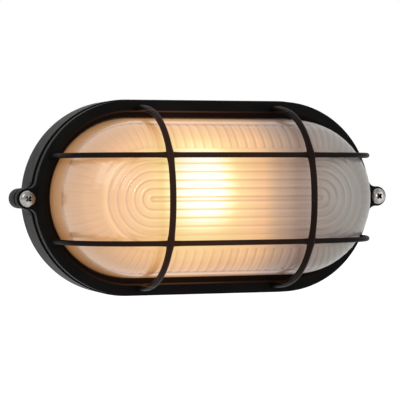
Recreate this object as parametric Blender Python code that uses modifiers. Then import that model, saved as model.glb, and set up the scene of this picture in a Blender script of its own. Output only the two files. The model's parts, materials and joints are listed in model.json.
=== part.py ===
# Oval bulkhead light with a ribbed glass lens behind a cast wire-style guard.
#
# The wall plane is y = 0 and the light looks towards -Y, with its length along X and +Z up.
# Depths are given as distances out from the wall, so a depth d lies at y = -d.

import bpy
import bmesh
import numpy as np
from math import pi, sin, cos, sqrt, atan2
from mathutils import Vector, Matrix

for item in list(bpy.data.objects):
    bpy.data.objects.remove(item, do_unlink=True)

# Driving sizes, in metres

# Outline: two half circles joined by straight runs
SPINE = 0.0444                 # half the distance between the centres of the round ends
FRAME_RADIUS = 0.0535          # outer radius of the guard frame
BASE_OVERHANG = 0.0007         # how far the base stands out past the frame
FIT = 0.0003                   # gap between pieces that touch
LENS_STRETCH = 0.0010          # the lens and its opening reach this much further each way

# Base casting
BASE_DEPTH = 0.0240
BASE_WALL = 0.0030
BASE_FLOOR = 0.0026
BASE_EDGE = 0.0008
POST_REACH = 0.0052            # inner posts that carry the seal, measured from the wall
POST_DROP = 0.0002             # posts and bosses end this far below the rim
POST_WIDTH = 0.0030
POST_PITCH = 0.0300            # between posts on the straight runs
POST_TURN = 0.62               # angle of the end posts from the long axis, in radians
SLOT_X = 0.0600                # wall screw slots, on a diagonal
SLOT_Z = 0.0280
SLOT_WIDTH = 0.0055
SLOT_LENGTH = 0.0105
SLOT_PAD = 0.0030
SLOT_PAD_HEIGHT = 0.0012

# Cover screws, their ears and bosses
EAR_REACH = 0.0044             # screw centre beyond the frame's round end
SCREW_SHANK = 0.0022
SCREW_HEAD = 0.0045
SCREW_HEAD_HEIGHT = 0.0033
SCREW_LENGTH = 0.0195
RECESS_SPAN = 0.0050
RECESS_WIDTH = 0.0011
RECESS_DEPTH = 0.0019
EAR_RADIUS = 0.0056
EAR_FILLET = 0.0045
EAR_RISE = 0.0004              # machined seats on the ears stand proud of the frame
EAR_SETBACK = 0.0004           # and their backs lie in from its rim
BOSS_RADIUS = 0.0055
BOSS_LENGTH = 0.0130

# Seal between base and frame
SEAL_THICKNESS = 0.0018
SEAL_SETBACK = 0.0005
SEAL_WIDTH = 0.0074

# Glass lens
GLASS_HEIGHT = 0.0500          # above the front face of the frame
GLASS_FULLNESS = 2.85          # exponent of the rounded side, 2 is an ellipse
GLASS_WALL = 0.0032
FLANGE_THICKNESS = 0.0025
FLANGE_CLEARANCE = 0.0005
PLAIN_BAND = 0.0028            # smooth band above the frame
BAND_STEP = 0.0004
FLUTE_PITCH = 0.0050
FLUTE_DEPTH = 0.0006
FRONT_RIB_PITCH = 0.0044
FRONT_RIB_DEPTH = 0.0005
FRONT_RIB_COUNT = 6
FRONT_RIB_START = 0.0024       # radius of the innermost rib about the spine

# Guard frame
SKIRT_WALL = 0.0024
LIP_THICKNESS = 0.0032
LIP_CLEARANCE = 0.0007
BAND_WIDTH = 0.0061            # flat front of the frame
CHAMFER_WIDTH = 0.0032
CHAMFER_DEPTH = 0.0017
FRAME_EDGE = 0.0006
UPRIGHT_X = 0.0392
UPRIGHT_RADIUS = 0.00155
UPRIGHT_CLEARANCE = 0.0103     # centre of the uprights in front of the glass
UPRIGHT_FULLNESS = 2.3
RAIL_Z = 0.0230
RAIL_RADIUS = 0.00130
RAIL_CLEARANCE = 0.0055        # centre of the rails in front of the glass
RAIL_FULLNESS = 3.0
BAR_INSET = 0.0045             # centre of the bars' feet from the frame's outline
BAR_ROOT = 0.0016              # how deep the bars run into the frame
FOOT_FLARE = 0.45
CROSS_SWELL = 0.22
SWELL_REACH = 0.0032

# Lamp and lampholder
LAMP_RISE = 0.0030             # lamp axis above the front face of the frame
LAMP_INSET = 0.0299            # the lamp's contact from the frame's round end
LAMP_LENGTH = 0.0980
LAMP_RADIUS = 0.0275
CAP_RADIUS = 0.0132
CAP_LENGTH = 0.0270
NECK_RADIUS = 0.0128
SHELL_GAP = 0.0004
SHELL_WALL = 0.0005
SHELL_LENGTH = 0.0250
HOLDER_WALL = 0.0050
HOLDER_LIP = 0.0022
HOLDER_LIP_LENGTH = 0.0070
HOLDER_LENGTH = 0.0310
HOLDER_BACK = 0.0035
CONTACT_RADIUS = 0.0040
CONTACT_LENGTH = 0.0019

# Bracket for the lampholder
SHEET = 0.0015
BRACKET_WIDTH = 0.0320
BRACKET_FOOT = 0.0205
BRACKET_TOP = 0.0110           # above the lamp axis
BRACKET_CORNER = 0.0060
BRACKET_BOSS_RADIUS = 0.0042
BRACKET_BOSS_HEIGHT = 0.0034
BRACKET_SCREW_Z = 0.0100
BRACKET_SCREW_INSET = 0.0068   # from the front end of the foot
HOLDER_SCREW_Z = 0.0110
SMALL_SHANK = 0.0015
SMALL_HEAD = 0.0030
SMALL_HEAD_HEIGHT = 0.0020
SMALL_GRIP = 0.0042            # length of a small screw in its boss
HOLDER_SCREW_GRIP = 0.0028     # in the lampholder's back

# Wiring
BLOCK_X = -0.0640
BLOCK_LENGTH = 0.0200
BLOCK_WIDTH = 0.0230
BLOCK_HEIGHT = 0.0140
BLOCK_ROUND = 0.0012
POLE_PITCH_X = 0.0100
POLE_PITCH_Z = 0.0100
CLAMP_SCREW_RADIUS = 0.0020
CLAMP_SCREW_LENGTH = 0.0045
CLAMP_SCREW_SINK = 0.0006
LEAD_RADIUS = 0.0011
LEAD_SPREAD = 0.0240
LEAD_STRAIGHT = 0.0040         # straight out of the terminal block
LEAD_BLOCK_DEPTH = 0.0090
LEAD_HOLDER_INSET = 0.0095     # from the lamp's contact
LEAD_HOLDER_Z = 0.0070
GROMMET_X = -0.0380
GROMMET_RADIUS = 0.0080
GROMMET_FLANGE = 0.0025
GROMMET_FLANGE_HEIGHT = 0.0020
GROMMET_SKIN = 0.0008
EARTH_X = -0.0440
EARTH_Z = 0.0290
EARTH_BOSS_RADIUS = 0.0045
EARTH_BOSS_HEIGHT = 0.0030
WASHER_RADIUS = 0.0042
WASHER_THICKNESS = 0.0008

# Facets
ARC_STEPS = 20                 # along each half circle of a stadium sweep
FRONT_STEPS = 16               # the same on the smooth parts of the glass
FRONT_RIB_SAMPLES = 4          # rows across each rib of the front
ROUND_STEPS = 16
SMALL_STEPS = 10

# Sizes that follow from the driving ones
base_radius = FRAME_RADIUS + BASE_OVERHANG
seal_back = BASE_DEPTH + FIT
seal_front = seal_back + SEAL_THICKNESS
flange_back = seal_front + FIT
flange_front = flange_back + FLANGE_THICKNESS
lip_back = flange_front + FIT
face = lip_back + LIP_THICKNESS
frame_inner = FRAME_RADIUS - SKIRT_WALL
lens_spine = SPINE + LENS_STRETCH
flange_radius = frame_inner - FLANGE_CLEARANCE - LENS_STRETCH
opening_radius = FRAME_RADIUS - BAND_WIDTH - CHAMFER_WIDTH
glass_radius = opening_radius - LIP_CLEARANCE
glass_inner = glass_radius - GLASS_WALL
glass_inner_rise = face - flange_back + GLASS_HEIGHT - GLASS_WALL
screw_x = SPINE + FRAME_RADIUS + EAR_REACH
screw_hole = SCREW_SHANK + FIT
screw_seat = face + EAR_RISE + FIT
lamp_depth = face + LAMP_RISE
lamp_end = SPINE + FRAME_RADIUS - LAMP_INSET
shell_inner = CAP_RADIUS + SHELL_GAP
shell_outer = shell_inner + SHELL_WALL
holder_bore = shell_outer + FIT
holder_radius = holder_bore + HOLDER_WALL
holder_floor_x = lamp_end + FIT + CONTACT_LENGTH + FIT
holder_back_x = holder_floor_x + HOLDER_BACK
lead_holder_x = lamp_end - LEAD_HOLDER_INSET
bracket_x = holder_back_x + FIT
bracket_foot_back = BASE_FLOOR + BRACKET_BOSS_HEIGHT + FIT
small_hole = SMALL_SHANK + FIT
bracket_screw_x = bracket_x + SHEET - BRACKET_FOOT + BRACKET_SCREW_INSET

parts = bpy.data.collections.new("bulkhead_light")
cutters = bpy.data.collections.new("cutters")
bpy.context.scene.collection.children.link(parts)
bpy.context.scene.collection.children.link(cutters)


# Helpers

def material(name, colour, roughness, metallic=0.0):
    made = bpy.data.materials.new(name)
    made.use_nodes = True
    shader = made.node_tree.nodes["Principled BSDF"]
    shader.inputs["Base Color"].default_value = (*colour, 1.0)
    shader.inputs["Roughness"].default_value = roughness
    shader.inputs["Metallic"].default_value = metallic
    made.diffuse_color = (*colour, 1.0)
    return made


BLACK = material("black_powder_coat", (0.015, 0.014, 0.014), 0.45)
RUBBER = material("black_rubber", (0.012, 0.012, 0.012), 0.80)
GLASS = material("frosted_glass", (0.78, 0.72, 0.66), 0.35)
STEEL = material("stainless_steel", (0.60, 0.60, 0.59), 0.30, 1.0)
ZINC = material("zinc_plated_steel", (0.56, 0.57, 0.58), 0.38, 1.0)
LAMP = material("opal_lamp", (0.92, 0.88, 0.80), 0.25)
PORCELAIN = material("white_porcelain", (0.80, 0.78, 0.73), 0.22)
BRASS = material("brass", (0.72, 0.52, 0.22), 0.30, 1.0)
BROWN = material("brown_sleeve", (0.17, 0.07, 0.03), 0.50)
BLUE = material("blue_sleeve", (0.03, 0.09, 0.35), 0.50)


def place(obj, finish, group=None):
    """Puts an object in its collection and gives it its material."""
    (group or parts).objects.link(obj)
    if finish is not None:
        obj.data.materials.clear()
        obj.data.materials.append(finish)
    return obj


def as_cutter(obj):
    obj.hide_render = True
    obj.display_type = "WIRE"
    return place(obj, None, cutters)


def mesh_object(name, bm, angle=0.6):
    """Turns a bmesh into an object with smooth faces and sharp corners."""
    mesh = bpy.data.meshes.new(name)
    bm.to_mesh(mesh)
    bm.free()
    mesh.shade_smooth()
    mesh.set_sharp_from_angle(angle=angle)
    return bpy.data.objects.new(name, mesh)


def boolean(target, operand, operation="DIFFERENCE"):
    step = target.modifiers.new(operand.name, "BOOLEAN")
    step.operation = operation
    step.solver = "EXACT"
    step.object = operand


def sweep_stadium(bm, profile, arc_steps, run_steps=1, closed=False, spine=SPINE):
    """Carries a profile of (radius, depth) pairs once round the stadium and returns its vertices.

    The profile stands at the top of the right-hand end. It is spun over that end, drawn along
    the lower straight run, spun over the left-hand end and drawn back along the upper run.
    """
    known = set(bm.verts)
    row = [bm.verts.new((spine, -depth, radius)) for radius, depth in profile]
    ends = row[1:] + row[:1] if closed else row[1:]
    geom = row + [bm.edges.new(pair) for pair in zip(row, ends)]
    for side in (1, -1):
        turned = bmesh.ops.spin(bm, geom=geom, cent=(side * spine, 0, 0), axis=(0, 1, 0),
                                angle=pi, steps=arc_steps, use_duplicate=False)
        geom = turned["geom_last"]
        for _ in range(run_steps):
            edges = [g for g in geom if isinstance(g, bmesh.types.BMEdge)]
            drawn = bmesh.ops.extrude_edge_only(bm, edges=edges)["geom"]
            moved = {g for g in drawn if isinstance(g, bmesh.types.BMVert)}
            bmesh.ops.translate(bm, verts=list(moved), vec=(-side * 2 * spine / run_steps, 0, 0))
            geom = list(moved) + [g for g in drawn if isinstance(g, bmesh.types.BMEdge)
                                  and set(g.verts) <= moved]
    return [v for v in bm.verts if v not in known]


def close_up(bm):
    """Merges the seams of a sweep and points the faces outwards."""
    bmesh.ops.remove_doubles(bm, verts=bm.verts, dist=1e-6)
    bmesh.ops.recalc_face_normals(bm, faces=bm.faces)


def stadium_solid(name, profile, closed, arc_steps=ARC_STEPS):
    """A swept solid. Where the profile is open, one flat face closes each of its ends."""
    bm = bmesh.new()
    sweep_stadium(bm, profile, arc_steps, closed=closed)
    bmesh.ops.remove_doubles(bm, verts=bm.verts, dist=1e-6)
    if not closed:
        bmesh.ops.holes_fill(bm, edges=[e for e in bm.edges if e.is_boundary])
    close_up(bm)
    return mesh_object(name, bm)


def turned(name, profile, location, towards, steps=ROUND_STEPS, closed=False):
    """A turned piece: a profile of (radius, height) pairs, listed down its outer side."""
    mesh = bpy.data.meshes.new(name)
    count = len(profile)
    edges = [(i, (i + 1) % count) for i in range(count if closed else count - 1)]
    mesh.from_pydata([(radius, 0, height) for radius, height in profile], edges, [])
    obj = bpy.data.objects.new(name, mesh)
    obj.location = location
    obj.rotation_euler = Vector((0, 0, 1)).rotation_difference(Vector(towards)).to_euler()
    screw = obj.modifiers.new("turn", "SCREW")
    screw.axis = "Z"
    screw.angle = 2 * pi
    screw.steps = steps
    screw.render_steps = steps
    screw.use_merge_vertices = True
    screw.merge_threshold = 0.00001
    screw.use_smooth_shade = True
    return obj


def cylinder(name, radius, back, front, x, z, steps=ROUND_STEPS):
    """A round bar along Y between two depths."""
    bm = bmesh.new()
    bmesh.ops.create_cone(bm, cap_ends=True, segments=steps, radius1=radius, radius2=radius,
                          depth=front - back)
    bm.transform(Matrix.Rotation(pi / 2, 4, "X"))
    obj = mesh_object(name, bm)
    obj.location = (x, -(front + back) / 2, z)
    return obj


def block(name, size, centre, edge=0.0, segments=1):
    """A box, with rounded edges where an edge width is given."""
    bm = bmesh.new()
    bmesh.ops.create_cube(bm, size=1.0)
    bm.transform(Matrix.Diagonal((*size, 1.0)))
    obj = mesh_object(name, bm)
    obj.location = centre
    if edge > 0:
        bevel = obj.modifiers.new("edges", "BEVEL")
        bevel.width = edge
        bevel.segments = segments
    return obj


def plate(name, outline, back, front, edge=0.0):
    """A flat outline of (x, z) pairs, extruded between two depths."""
    curve = bpy.data.curves.new(name, "CURVE")
    curve.dimensions = "2D"
    curve.fill_mode = "BOTH"
    curve.extrude = (front - back) / 2
    spline = curve.splines.new("POLY")
    spline.points.add(len(outline) - 1)
    for point, (x, z) in zip(spline.points, outline):
        point.co = (x, z, 0, 1)
    spline.use_cyclic_u = True
    flat = bpy.data.objects.new(name + "_outline", curve)
    flat.rotation_euler = (pi / 2, 0, 0)
    flat.location = (0, -(front + back) / 2, 0)
    obj = curve_to_mesh(flat, name)
    if edge > 0:
        bevel = obj.modifiers.new("edges", "BEVEL")
        bevel.width = edge
        bevel.segments = 2
        bevel.angle_limit = 1.2
    return obj


def curve_to_mesh(obj, name):
    """Makes a curve object a closed mesh in its place."""
    parts.objects.link(obj)
    bpy.context.view_layer.update()
    mesh = bpy.data.meshes.new_from_object(
        obj.evaluated_get(bpy.context.evaluated_depsgraph_get()))
    bm = bmesh.new()
    bm.from_mesh(mesh)
    bmesh.ops.remove_doubles(bm, verts=bm.verts, dist=1e-6)
    bmesh.ops.recalc_face_normals(bm, faces=bm.faces)
    made = mesh_object(name, bm)
    made.matrix_world = obj.matrix_world.copy()
    bpy.data.meshes.remove(mesh)
    bpy.data.objects.remove(obj, do_unlink=True)
    return made


def tube(name, points, radius, widths=None, sides=2):
    """A round rod through a list of points, as wide at each as its width factor says."""
    curve = bpy.data.curves.new(name, "CURVE")
    curve.dimensions = "3D"
    curve.bevel_depth = radius
    curve.bevel_resolution = sides
    curve.use_fill_caps = True
    curve.resolution_u = 1
    curve.render_resolution_u = 0
    spline = curve.splines.new("POLY")
    spline.points.add(len(points) - 1)
    for index, (point, where) in enumerate(zip(spline.points, points)):
        point.co = (*where, 1)
        point.radius = widths[index] if widths is not None else 1.0
    return bpy.data.objects.new(name + "_curve", curve)


def evenly(points, count, bends=0.0):
    """Spaces a dense row of points evenly along its length, and more closely where it bends."""
    dense = np.array(points, dtype=float)
    runs = np.diff(dense, axis=0)
    steps = np.linalg.norm(runs, axis=1)
    headings = runs / np.maximum(steps, 1e-12)[:, None]
    turns = np.linalg.norm(np.diff(headings, axis=0), axis=1)
    share = steps / steps.sum()
    if bends > 0:
        share = share + bends * np.append(turns, 0.0) / max(turns.sum(), 1e-12)
    along = np.concatenate([[0.0], np.cumsum(share)])
    wanted = np.linspace(0.0, along[-1], count)
    return np.stack([np.interp(wanted, along, dense[:, k]) for k in range(dense.shape[1])], axis=1)


def superellipse(half_width, rise, fullness, start, end, count):
    """Points on a rounded arch, from the angle start to the angle end (0 is at the foot)."""
    angles = np.linspace(start, end, 600)
    across = half_width * np.sign(np.cos(angles)) * np.abs(np.cos(angles)) ** (2 / fullness)
    height = rise * np.abs(np.sin(angles)) ** (2 / fullness)
    return evenly(np.stack([across, height], axis=1), count, 1.0)


def ear_outline(frame_radius, root_wall, ear_radius, fillet):
    """The flat outline of an ear that flows out of the round end with a fillet on each side."""
    reach = screw_x - SPINE
    far, near = frame_radius + fillet, ear_radius + fillet
    along = (far ** 2 - near ** 2 + reach ** 2) / (2 * reach)
    up = sqrt(max(far ** 2 - along ** 2, 0.0))
    turn_on_frame = atan2(up, along)
    turn_on_ear = atan2(up, along - reach)
    ear = [(screw_x + ear_radius * cos(a), ear_radius * sin(a))
           for a in np.linspace(0.0, turn_on_ear, 7)]
    centre = (SPINE + along, up)
    start, end = turn_on_ear + pi, turn_on_frame + pi
    curve = [(centre[0] + fillet * cos(a), centre[1] + fillet * sin(a))
             for a in np.linspace(start, end, 5)]
    inner = frame_radius - root_wall / 2
    root = (SPINE + inner * cos(turn_on_frame), inner * sin(turn_on_frame))
    upper = ear + curve[1:] + [root]
    lower = [(x, -z) for x, z in reversed(upper[1:])]
    middle = [(SPINE + inner * cos(a), -inner * sin(a))
              for a in np.linspace(turn_on_frame, -turn_on_frame, 6)[1:-1]]
    return [(x, z) for x, z in upper] + [(x, -z) for x, z in middle] + lower


def mirrored(outline):
    return [(-x, z) for x, z in reversed(outline)]


def both_ends(outline):
    return (("right", outline, 1), ("left", mirrored(outline), -1))


# Base: a cast tub with posts on its wall and a boss for each cover screw

base = place(stadium_solid("base_housing", [
    (base_radius - BASE_EDGE, 0.0),
    (base_radius, BASE_EDGE),
    (base_radius, BASE_DEPTH),
    (base_radius - BASE_WALL, BASE_DEPTH),
    (base_radius - BASE_WALL, BASE_FLOOR + BASE_EDGE * 2),
    (base_radius - BASE_WALL - BASE_EDGE * 2, BASE_FLOOR)], closed=False), BLACK)

bosses = ear_outline(base_radius, BASE_WALL, BOSS_RADIUS, EAR_FILLET)
for side, outline, sign in both_ends(bosses):
    boss = as_cutter(plate("boss_" + side, outline, BASE_DEPTH - BOSS_LENGTH,
                           BASE_DEPTH - POST_DROP))
    boolean(base, boss, "UNION")

bm = bmesh.new()
post_root = base_radius - BASE_WALL / 2
post_tip = base_radius - POST_REACH - BASE_WALL
post_places = [(x, 0.0, side * pi / 2) for x in (-POST_PITCH, 0.0, POST_PITCH) for side in (1, -1)]
post_places += [(side * SPINE, 0.0, turn if side > 0 else pi - turn)
                for side in (1, -1) for turn in (POST_TURN, -POST_TURN)]
post_places += [(side * SPINE, 0.0, turn) for side in (1, -1) for turn in (pi / 2, -pi / 2)]
post_low, post_high = BASE_FLOOR / 2, BASE_DEPTH - POST_DROP
for x, z, angle in post_places:
    made = bmesh.ops.create_cube(bm, size=1.0)["verts"]
    bmesh.ops.scale(bm, verts=made, vec=(post_root - post_tip, post_high - post_low, POST_WIDTH))
    bmesh.ops.translate(bm, verts=made, vec=((post_root + post_tip) / 2,
                                             -(post_high + post_low) / 2, 0))
    bmesh.ops.rotate(bm, verts=made, cent=(0, 0, 0), matrix=Matrix.Rotation(-angle, 3, "Y"))
    bmesh.ops.translate(bm, verts=made, vec=(x, 0, z))
posts = as_cutter(mesh_object("posts", bm))
boolean(base, posts, "UNION")

lift = BASE_FLOOR / 2
for name, x, z, radius, height in (
        ("bracket_boss_upper", bracket_screw_x, BRACKET_SCREW_Z, BRACKET_BOSS_RADIUS,
         BRACKET_BOSS_HEIGHT),
        ("bracket_boss_lower", bracket_screw_x, -BRACKET_SCREW_Z, BRACKET_BOSS_RADIUS,
         BRACKET_BOSS_HEIGHT),
        ("earth_boss", EARTH_X, EARTH_Z, EARTH_BOSS_RADIUS, EARTH_BOSS_HEIGHT)):
    pad = as_cutter(cylinder(name, radius, lift, BASE_FLOOR + height, x, z, SMALL_STEPS))
    boolean(base, pad, "UNION")
    drill = as_cutter(cylinder(name + "_drill", small_hole, BASE_FLOOR + height - SMALL_GRIP - FIT,
                               BASE_FLOOR + height + FIT, x, z, SMALL_STEPS))
    boolean(base, drill)


def slot_outline(grow):
    """A slot with round ends, its long axis along X, grown on every side."""
    radius = SLOT_WIDTH / 2 + grow
    half = (SLOT_LENGTH - SLOT_WIDTH) / 2
    right = [(half + radius * cos(a), radius * sin(a)) for a in np.linspace(-pi / 2, pi / 2, 7)]
    left = [(-half + radius * cos(a), radius * sin(a))
            for a in np.linspace(pi / 2, 3 * pi / 2, 7)]
    return right + left


for name, side in (("slot_left", -1), ("slot_right", 1)):
    x, z = side * SLOT_X, -side * SLOT_Z
    pad = plate(name + "_pad", [(x + u, z + v) for u, v in slot_outline(SLOT_PAD)],
                lift, BASE_FLOOR + SLOT_PAD_HEIGHT)
    boolean(base, as_cutter(pad), "UNION")
    cut = plate(name, [(x + u, z + v) for u, v in slot_outline(0.0)],
                -BASE_FLOOR, BASE_FLOOR * 2 + SLOT_PAD_HEIGHT)
    boolean(base, as_cutter(cut))

entry = as_cutter(cylinder("cable_entry", GROMMET_RADIUS + FIT, -BASE_FLOOR, 2 * BASE_FLOOR,
                           GROMMET_X, 0.0))
boolean(base, entry)
for side in (1, -1):
    tapped = as_cutter(cylinder("boss_hole_right" if side > 0 else "boss_hole_left", screw_hole,
                                BASE_DEPTH - BOSS_LENGTH - FIT, BASE_DEPTH + FIT,
                                side * screw_x, 0.0, SMALL_STEPS))
    boolean(base, tapped)

# Seal: a flat rubber ring that shows as the dark line between base and frame

seal_outer = FRAME_RADIUS - SEAL_SETBACK
place(stadium_solid("body_gasket", [
    (seal_outer, seal_front), (seal_outer, seal_back),
    (seal_outer - SEAL_WIDTH, seal_back), (seal_outer - SEAL_WIDTH, seal_front)],
    closed=True), RUBBER)

# Glass: a pressed dome with flutes down its sides and concentric ribs on its front

flute_end = FRONT_RIB_START + (FRONT_RIB_COUNT - 1) * FRONT_RIB_PITCH + FRONT_RIB_PITCH / 2
flutes_on_end = max(4, round(pi * glass_radius / FLUTE_PITCH))
flutes_on_run = max(2, round(2 * lens_spine / FLUTE_PITCH))


def dome_height(radius):
    share = min(radius / glass_radius, 1.0)
    return GLASS_HEIGHT * (1.0 - share ** GLASS_FULLNESS) ** (1.0 / GLASS_FULLNESS)


def flute_index(x, z):
    """Which half flute a point on the outline lies on, counted from the end of a run."""
    if abs(x) <= lens_spine + 1e-6:
        return round((x + lens_spine) / (lens_spine / flutes_on_run))
    beyond = x - lens_spine if x > 0 else x + lens_spine
    return round(abs(atan2(beyond, z)) / (pi / flutes_on_end / 2))


side_rows = superellipse(glass_radius, GLASS_HEIGHT, GLASS_FULLNESS, 0.0, pi / 2, 400)
band_top = face + PLAIN_BAND
side_rows = [(r, face + h) for r, h in side_rows if h > PLAIN_BAND + BAND_STEP and r > flute_end]
side_rows = evenly(side_rows, 6)

bm = bmesh.new()
inner_rows = superellipse(glass_inner, glass_inner_rise, GLASS_FULLNESS, 0.0, pi / 2, 8)
sweep_stadium(bm, [
    (glass_radius, band_top), (glass_radius, flange_front + FLANGE_CLEARANCE),
    (glass_radius + FLANGE_CLEARANCE, flange_front), (flange_radius, flange_front),
    (flange_radius, flange_back)]
    + [(r, flange_back + h) for r, h in inner_rows[:-1]]
    + [(0.0, flange_back + glass_inner_rise)], FRONT_STEPS, spine=lens_spine)

fluted = sweep_stadium(bm, [(r - BAND_STEP, d) for r, d in side_rows],
                       2 * flutes_on_end, 2 * flutes_on_run, spine=lens_spine)
for vert in fluted:
    x, z = vert.co.x, vert.co.z
    if flute_index(x, z) % 2:
        centre = Vector((min(max(x, -lens_spine), lens_spine), vert.co.y, 0.0))
        outwards = vert.co - centre
        vert.co -= outwards.normalized() * FLUTE_DEPTH

front_rows = []
samples = FRONT_RIB_SAMPLES * FRONT_RIB_COUNT
for step in range(samples + 1):
    radius = flute_end * (1.0 - step / samples)
    phase = 2 * pi * (radius - FRONT_RIB_START) / FRONT_RIB_PITCH
    sink = FRONT_RIB_DEPTH * (0.5 - 0.5 * cos(phase))
    front_rows.append((max(radius, 0.0), face + dome_height(radius) - sink))
sweep_stadium(bm, front_rows, FRONT_STEPS, spine=lens_spine)
close_up(bm)


def open_loops(bm):
    """The loops of open edges, from the wall outwards."""
    left = {e for e in bm.edges if e.is_boundary}
    loops = []
    while left:
        start = left.pop()
        loop, front = [start], [start]
        while front:
            edge = front.pop()
            near = [e for v in edge.verts for e in v.link_edges if e in left]
            for e in near:
                left.discard(e)
            loop += near
            front += near
        loops.append(loop)
    return sorted(loops, key=lambda loop: -sum(v.co.y for e in loop for v in e.verts)
                  / (2 * len(loop)))


loops = open_loops(bm)
for first, second in ((0, 1), (2, 3)):
    bmesh.ops.bridge_loops(bm, edges=loops[first] + loops[second])
close_up(bm)
place(mesh_object("glass_lens", bm, angle=0.9), GLASS)

# Guard: frame, ears and four bars are one casting

guard_ring = stadium_solid("guard_frame", [
    (FRAME_RADIUS, flange_back),
    (FRAME_RADIUS, face - FRAME_EDGE),
    (FRAME_RADIUS - FRAME_EDGE * 0.3, face - FRAME_EDGE * 0.3),
    (FRAME_RADIUS - FRAME_EDGE, face),
    (opening_radius + CHAMFER_WIDTH, face),
    (opening_radius, face - CHAMFER_DEPTH),
    (opening_radius, lip_back),
    (frame_inner, lip_back),
    (frame_inner, flange_back)], closed=True)
inside = (opening_radius + CHAMFER_WIDTH + frame_inner) / 2
for vert in guard_ring.data.vertices:
    beyond = max(abs(vert.co.x) - SPINE, 0.0)
    if sqrt(beyond ** 2 + vert.co.z ** 2) < inside:
        vert.co.x += LENS_STRETCH * (1 if vert.co.x > 0 else -1)
guard = place(guard_ring, BLACK)

ears = ear_outline(FRAME_RADIUS, SKIRT_WALL, EAR_RADIUS, EAR_FILLET)
for side, outline, sign in both_ends(ears):
    boolean(guard, as_cutter(plate("ear_" + side, outline, flange_back + EAR_SETBACK,
                                   face + EAR_RISE)), "UNION")

bar_foot = FRAME_RADIUS - BAR_INSET
rail_foot = SPINE + sqrt(bar_foot ** 2 - RAIL_Z ** 2)


def bar(name, half_span, rise, fullness, radius, crossing, to_world):
    """One arched bar, wider at its feet and where another bar crosses it."""
    arch = [tuple(p) for p in superellipse(half_span, rise, fullness, 0.0, pi, 27)[1:-1]]
    rows = [(half_span, -BAR_ROOT), (half_span, radius)] + arch
    rows += [(-half_span, radius), (-half_span, -BAR_ROOT)]
    widths = []
    for across, height in rows:
        foot = FOOT_FLARE * np.exp(-max(height, 0.0) / (2 * radius))
        swell = CROSS_SWELL * np.exp(-((abs(across) - crossing) / SWELL_REACH) ** 2)
        widths.append(1.0 + float(foot) + float(swell if height > rise / 2 else 0.0))
    return as_cutter(curve_to_mesh(
        tube(name, [to_world(a, face + h) for a, h in rows], radius, widths), name))


for name, x in (("upright_left", -UPRIGHT_X), ("upright_right", UPRIGHT_X)):
    boolean(guard, bar(name, bar_foot, GLASS_HEIGHT + UPRIGHT_CLEARANCE, UPRIGHT_FULLNESS,
                       UPRIGHT_RADIUS, RAIL_Z,
                       lambda across, depth, x=x: (x, -depth, across)), "UNION")
for name, z in (("rail_upper", RAIL_Z), ("rail_lower", -RAIL_Z)):
    boolean(guard, bar(name, rail_foot, GLASS_HEIGHT + RAIL_CLEARANCE, RAIL_FULLNESS,
                       RAIL_RADIUS, UPRIGHT_X,
                       lambda across, depth, z=z: (across, -depth, z)), "UNION")
for side in (1, -1):
    clear = as_cutter(cylinder("ear_hole_right" if side > 0 else "ear_hole_left", screw_hole,
                               flange_back - FIT, screw_seat, side * screw_x, 0.0, SMALL_STEPS))
    boolean(guard, clear)


# Screws

def pan_screw(name, head, height, shank, length, location, towards, finish, steps=ROUND_STEPS):
    """A pan head screw whose seat is at its origin and whose head points along its axis."""
    screw = turned(name, [
        (0.0, height), (head * 0.45, height * 0.97), (head * 0.78, height * 0.84),
        (head * 0.95, height * 0.58), (head, height * 0.30), (head, 0.0),
        (shank, 0.0), (shank, -length + shank * 0.4), (shank * 0.6, -length), (0.0, -length)],
        location, towards, steps)
    return place(screw, finish)


for side in (1, -1):
    label = "right" if side > 0 else "left"
    seat = (side * screw_x, -screw_seat, 0.0)
    screw = pan_screw("cover_screw_" + label, SCREW_HEAD, SCREW_HEAD_HEIGHT, SCREW_SHANK,
                      SCREW_LENGTH, seat, (0, -1, 0), STEEL)
    for number, turn in enumerate((pi / 4, -pi / 4)):
        blade = block("recess_" + label + "_" + str(number),
                      (RECESS_SPAN, 2 * RECESS_DEPTH, RECESS_WIDTH),
                      (side * screw_x, -(screw_seat + SCREW_HEAD_HEIGHT), 0.0))
        blade.rotation_euler = (0, turn, 0)
        boolean(screw, as_cutter(blade))

# Lampholder on its bracket, with the lamp lying along the light

bracket = place(block("holder_bracket", (
    SHEET, lamp_depth + BRACKET_TOP - bracket_foot_back, BRACKET_WIDTH),
    (bracket_x + SHEET / 2, -(lamp_depth + BRACKET_TOP + bracket_foot_back) / 2, 0.0)), ZINC)
corners = bracket.modifiers.new("corners", "BEVEL")
corners.width = BRACKET_CORNER
corners.segments = 4
corners.limit_method = "WEIGHT"
weights = bracket.data.attributes.new("bevel_weight_edge", "FLOAT", "EDGE")
for edge in bracket.data.edges:
    ends = [bracket.data.vertices[i].co for i in edge.vertices]
    along_x = abs(ends[0].x - ends[1].x) > SHEET / 2
    outer = all(v.y < 0 for v in ends)
    weights.data[edge.index].value = 1.0 if along_x and outer else 0.0
foot = as_cutter(block("bracket_foot", (BRACKET_FOOT, SHEET, BRACKET_WIDTH),
                       (bracket_x + SHEET - BRACKET_FOOT / 2,
                        -(bracket_foot_back + SHEET / 2), 0.0)))
boolean(bracket, foot, "UNION")
for sign, label in ((1, "upper"), (-1, "lower")):
    z = sign * BRACKET_SCREW_Z
    hole = cylinder("foot_hole_" + label, small_hole, bracket_foot_back - FIT,
                    bracket_foot_back + SHEET + FIT, bracket_screw_x, z, SMALL_STEPS)
    boolean(bracket, as_cutter(hole))
    pan_screw("bracket_screw_" + label, SMALL_HEAD, SMALL_HEAD_HEIGHT, SMALL_SHANK,
              SHEET + SMALL_GRIP + FIT,
              (bracket_screw_x, -(bracket_foot_back + SHEET + FIT), z), (0, -1, 0), ZINC,
              SMALL_STEPS)

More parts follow.
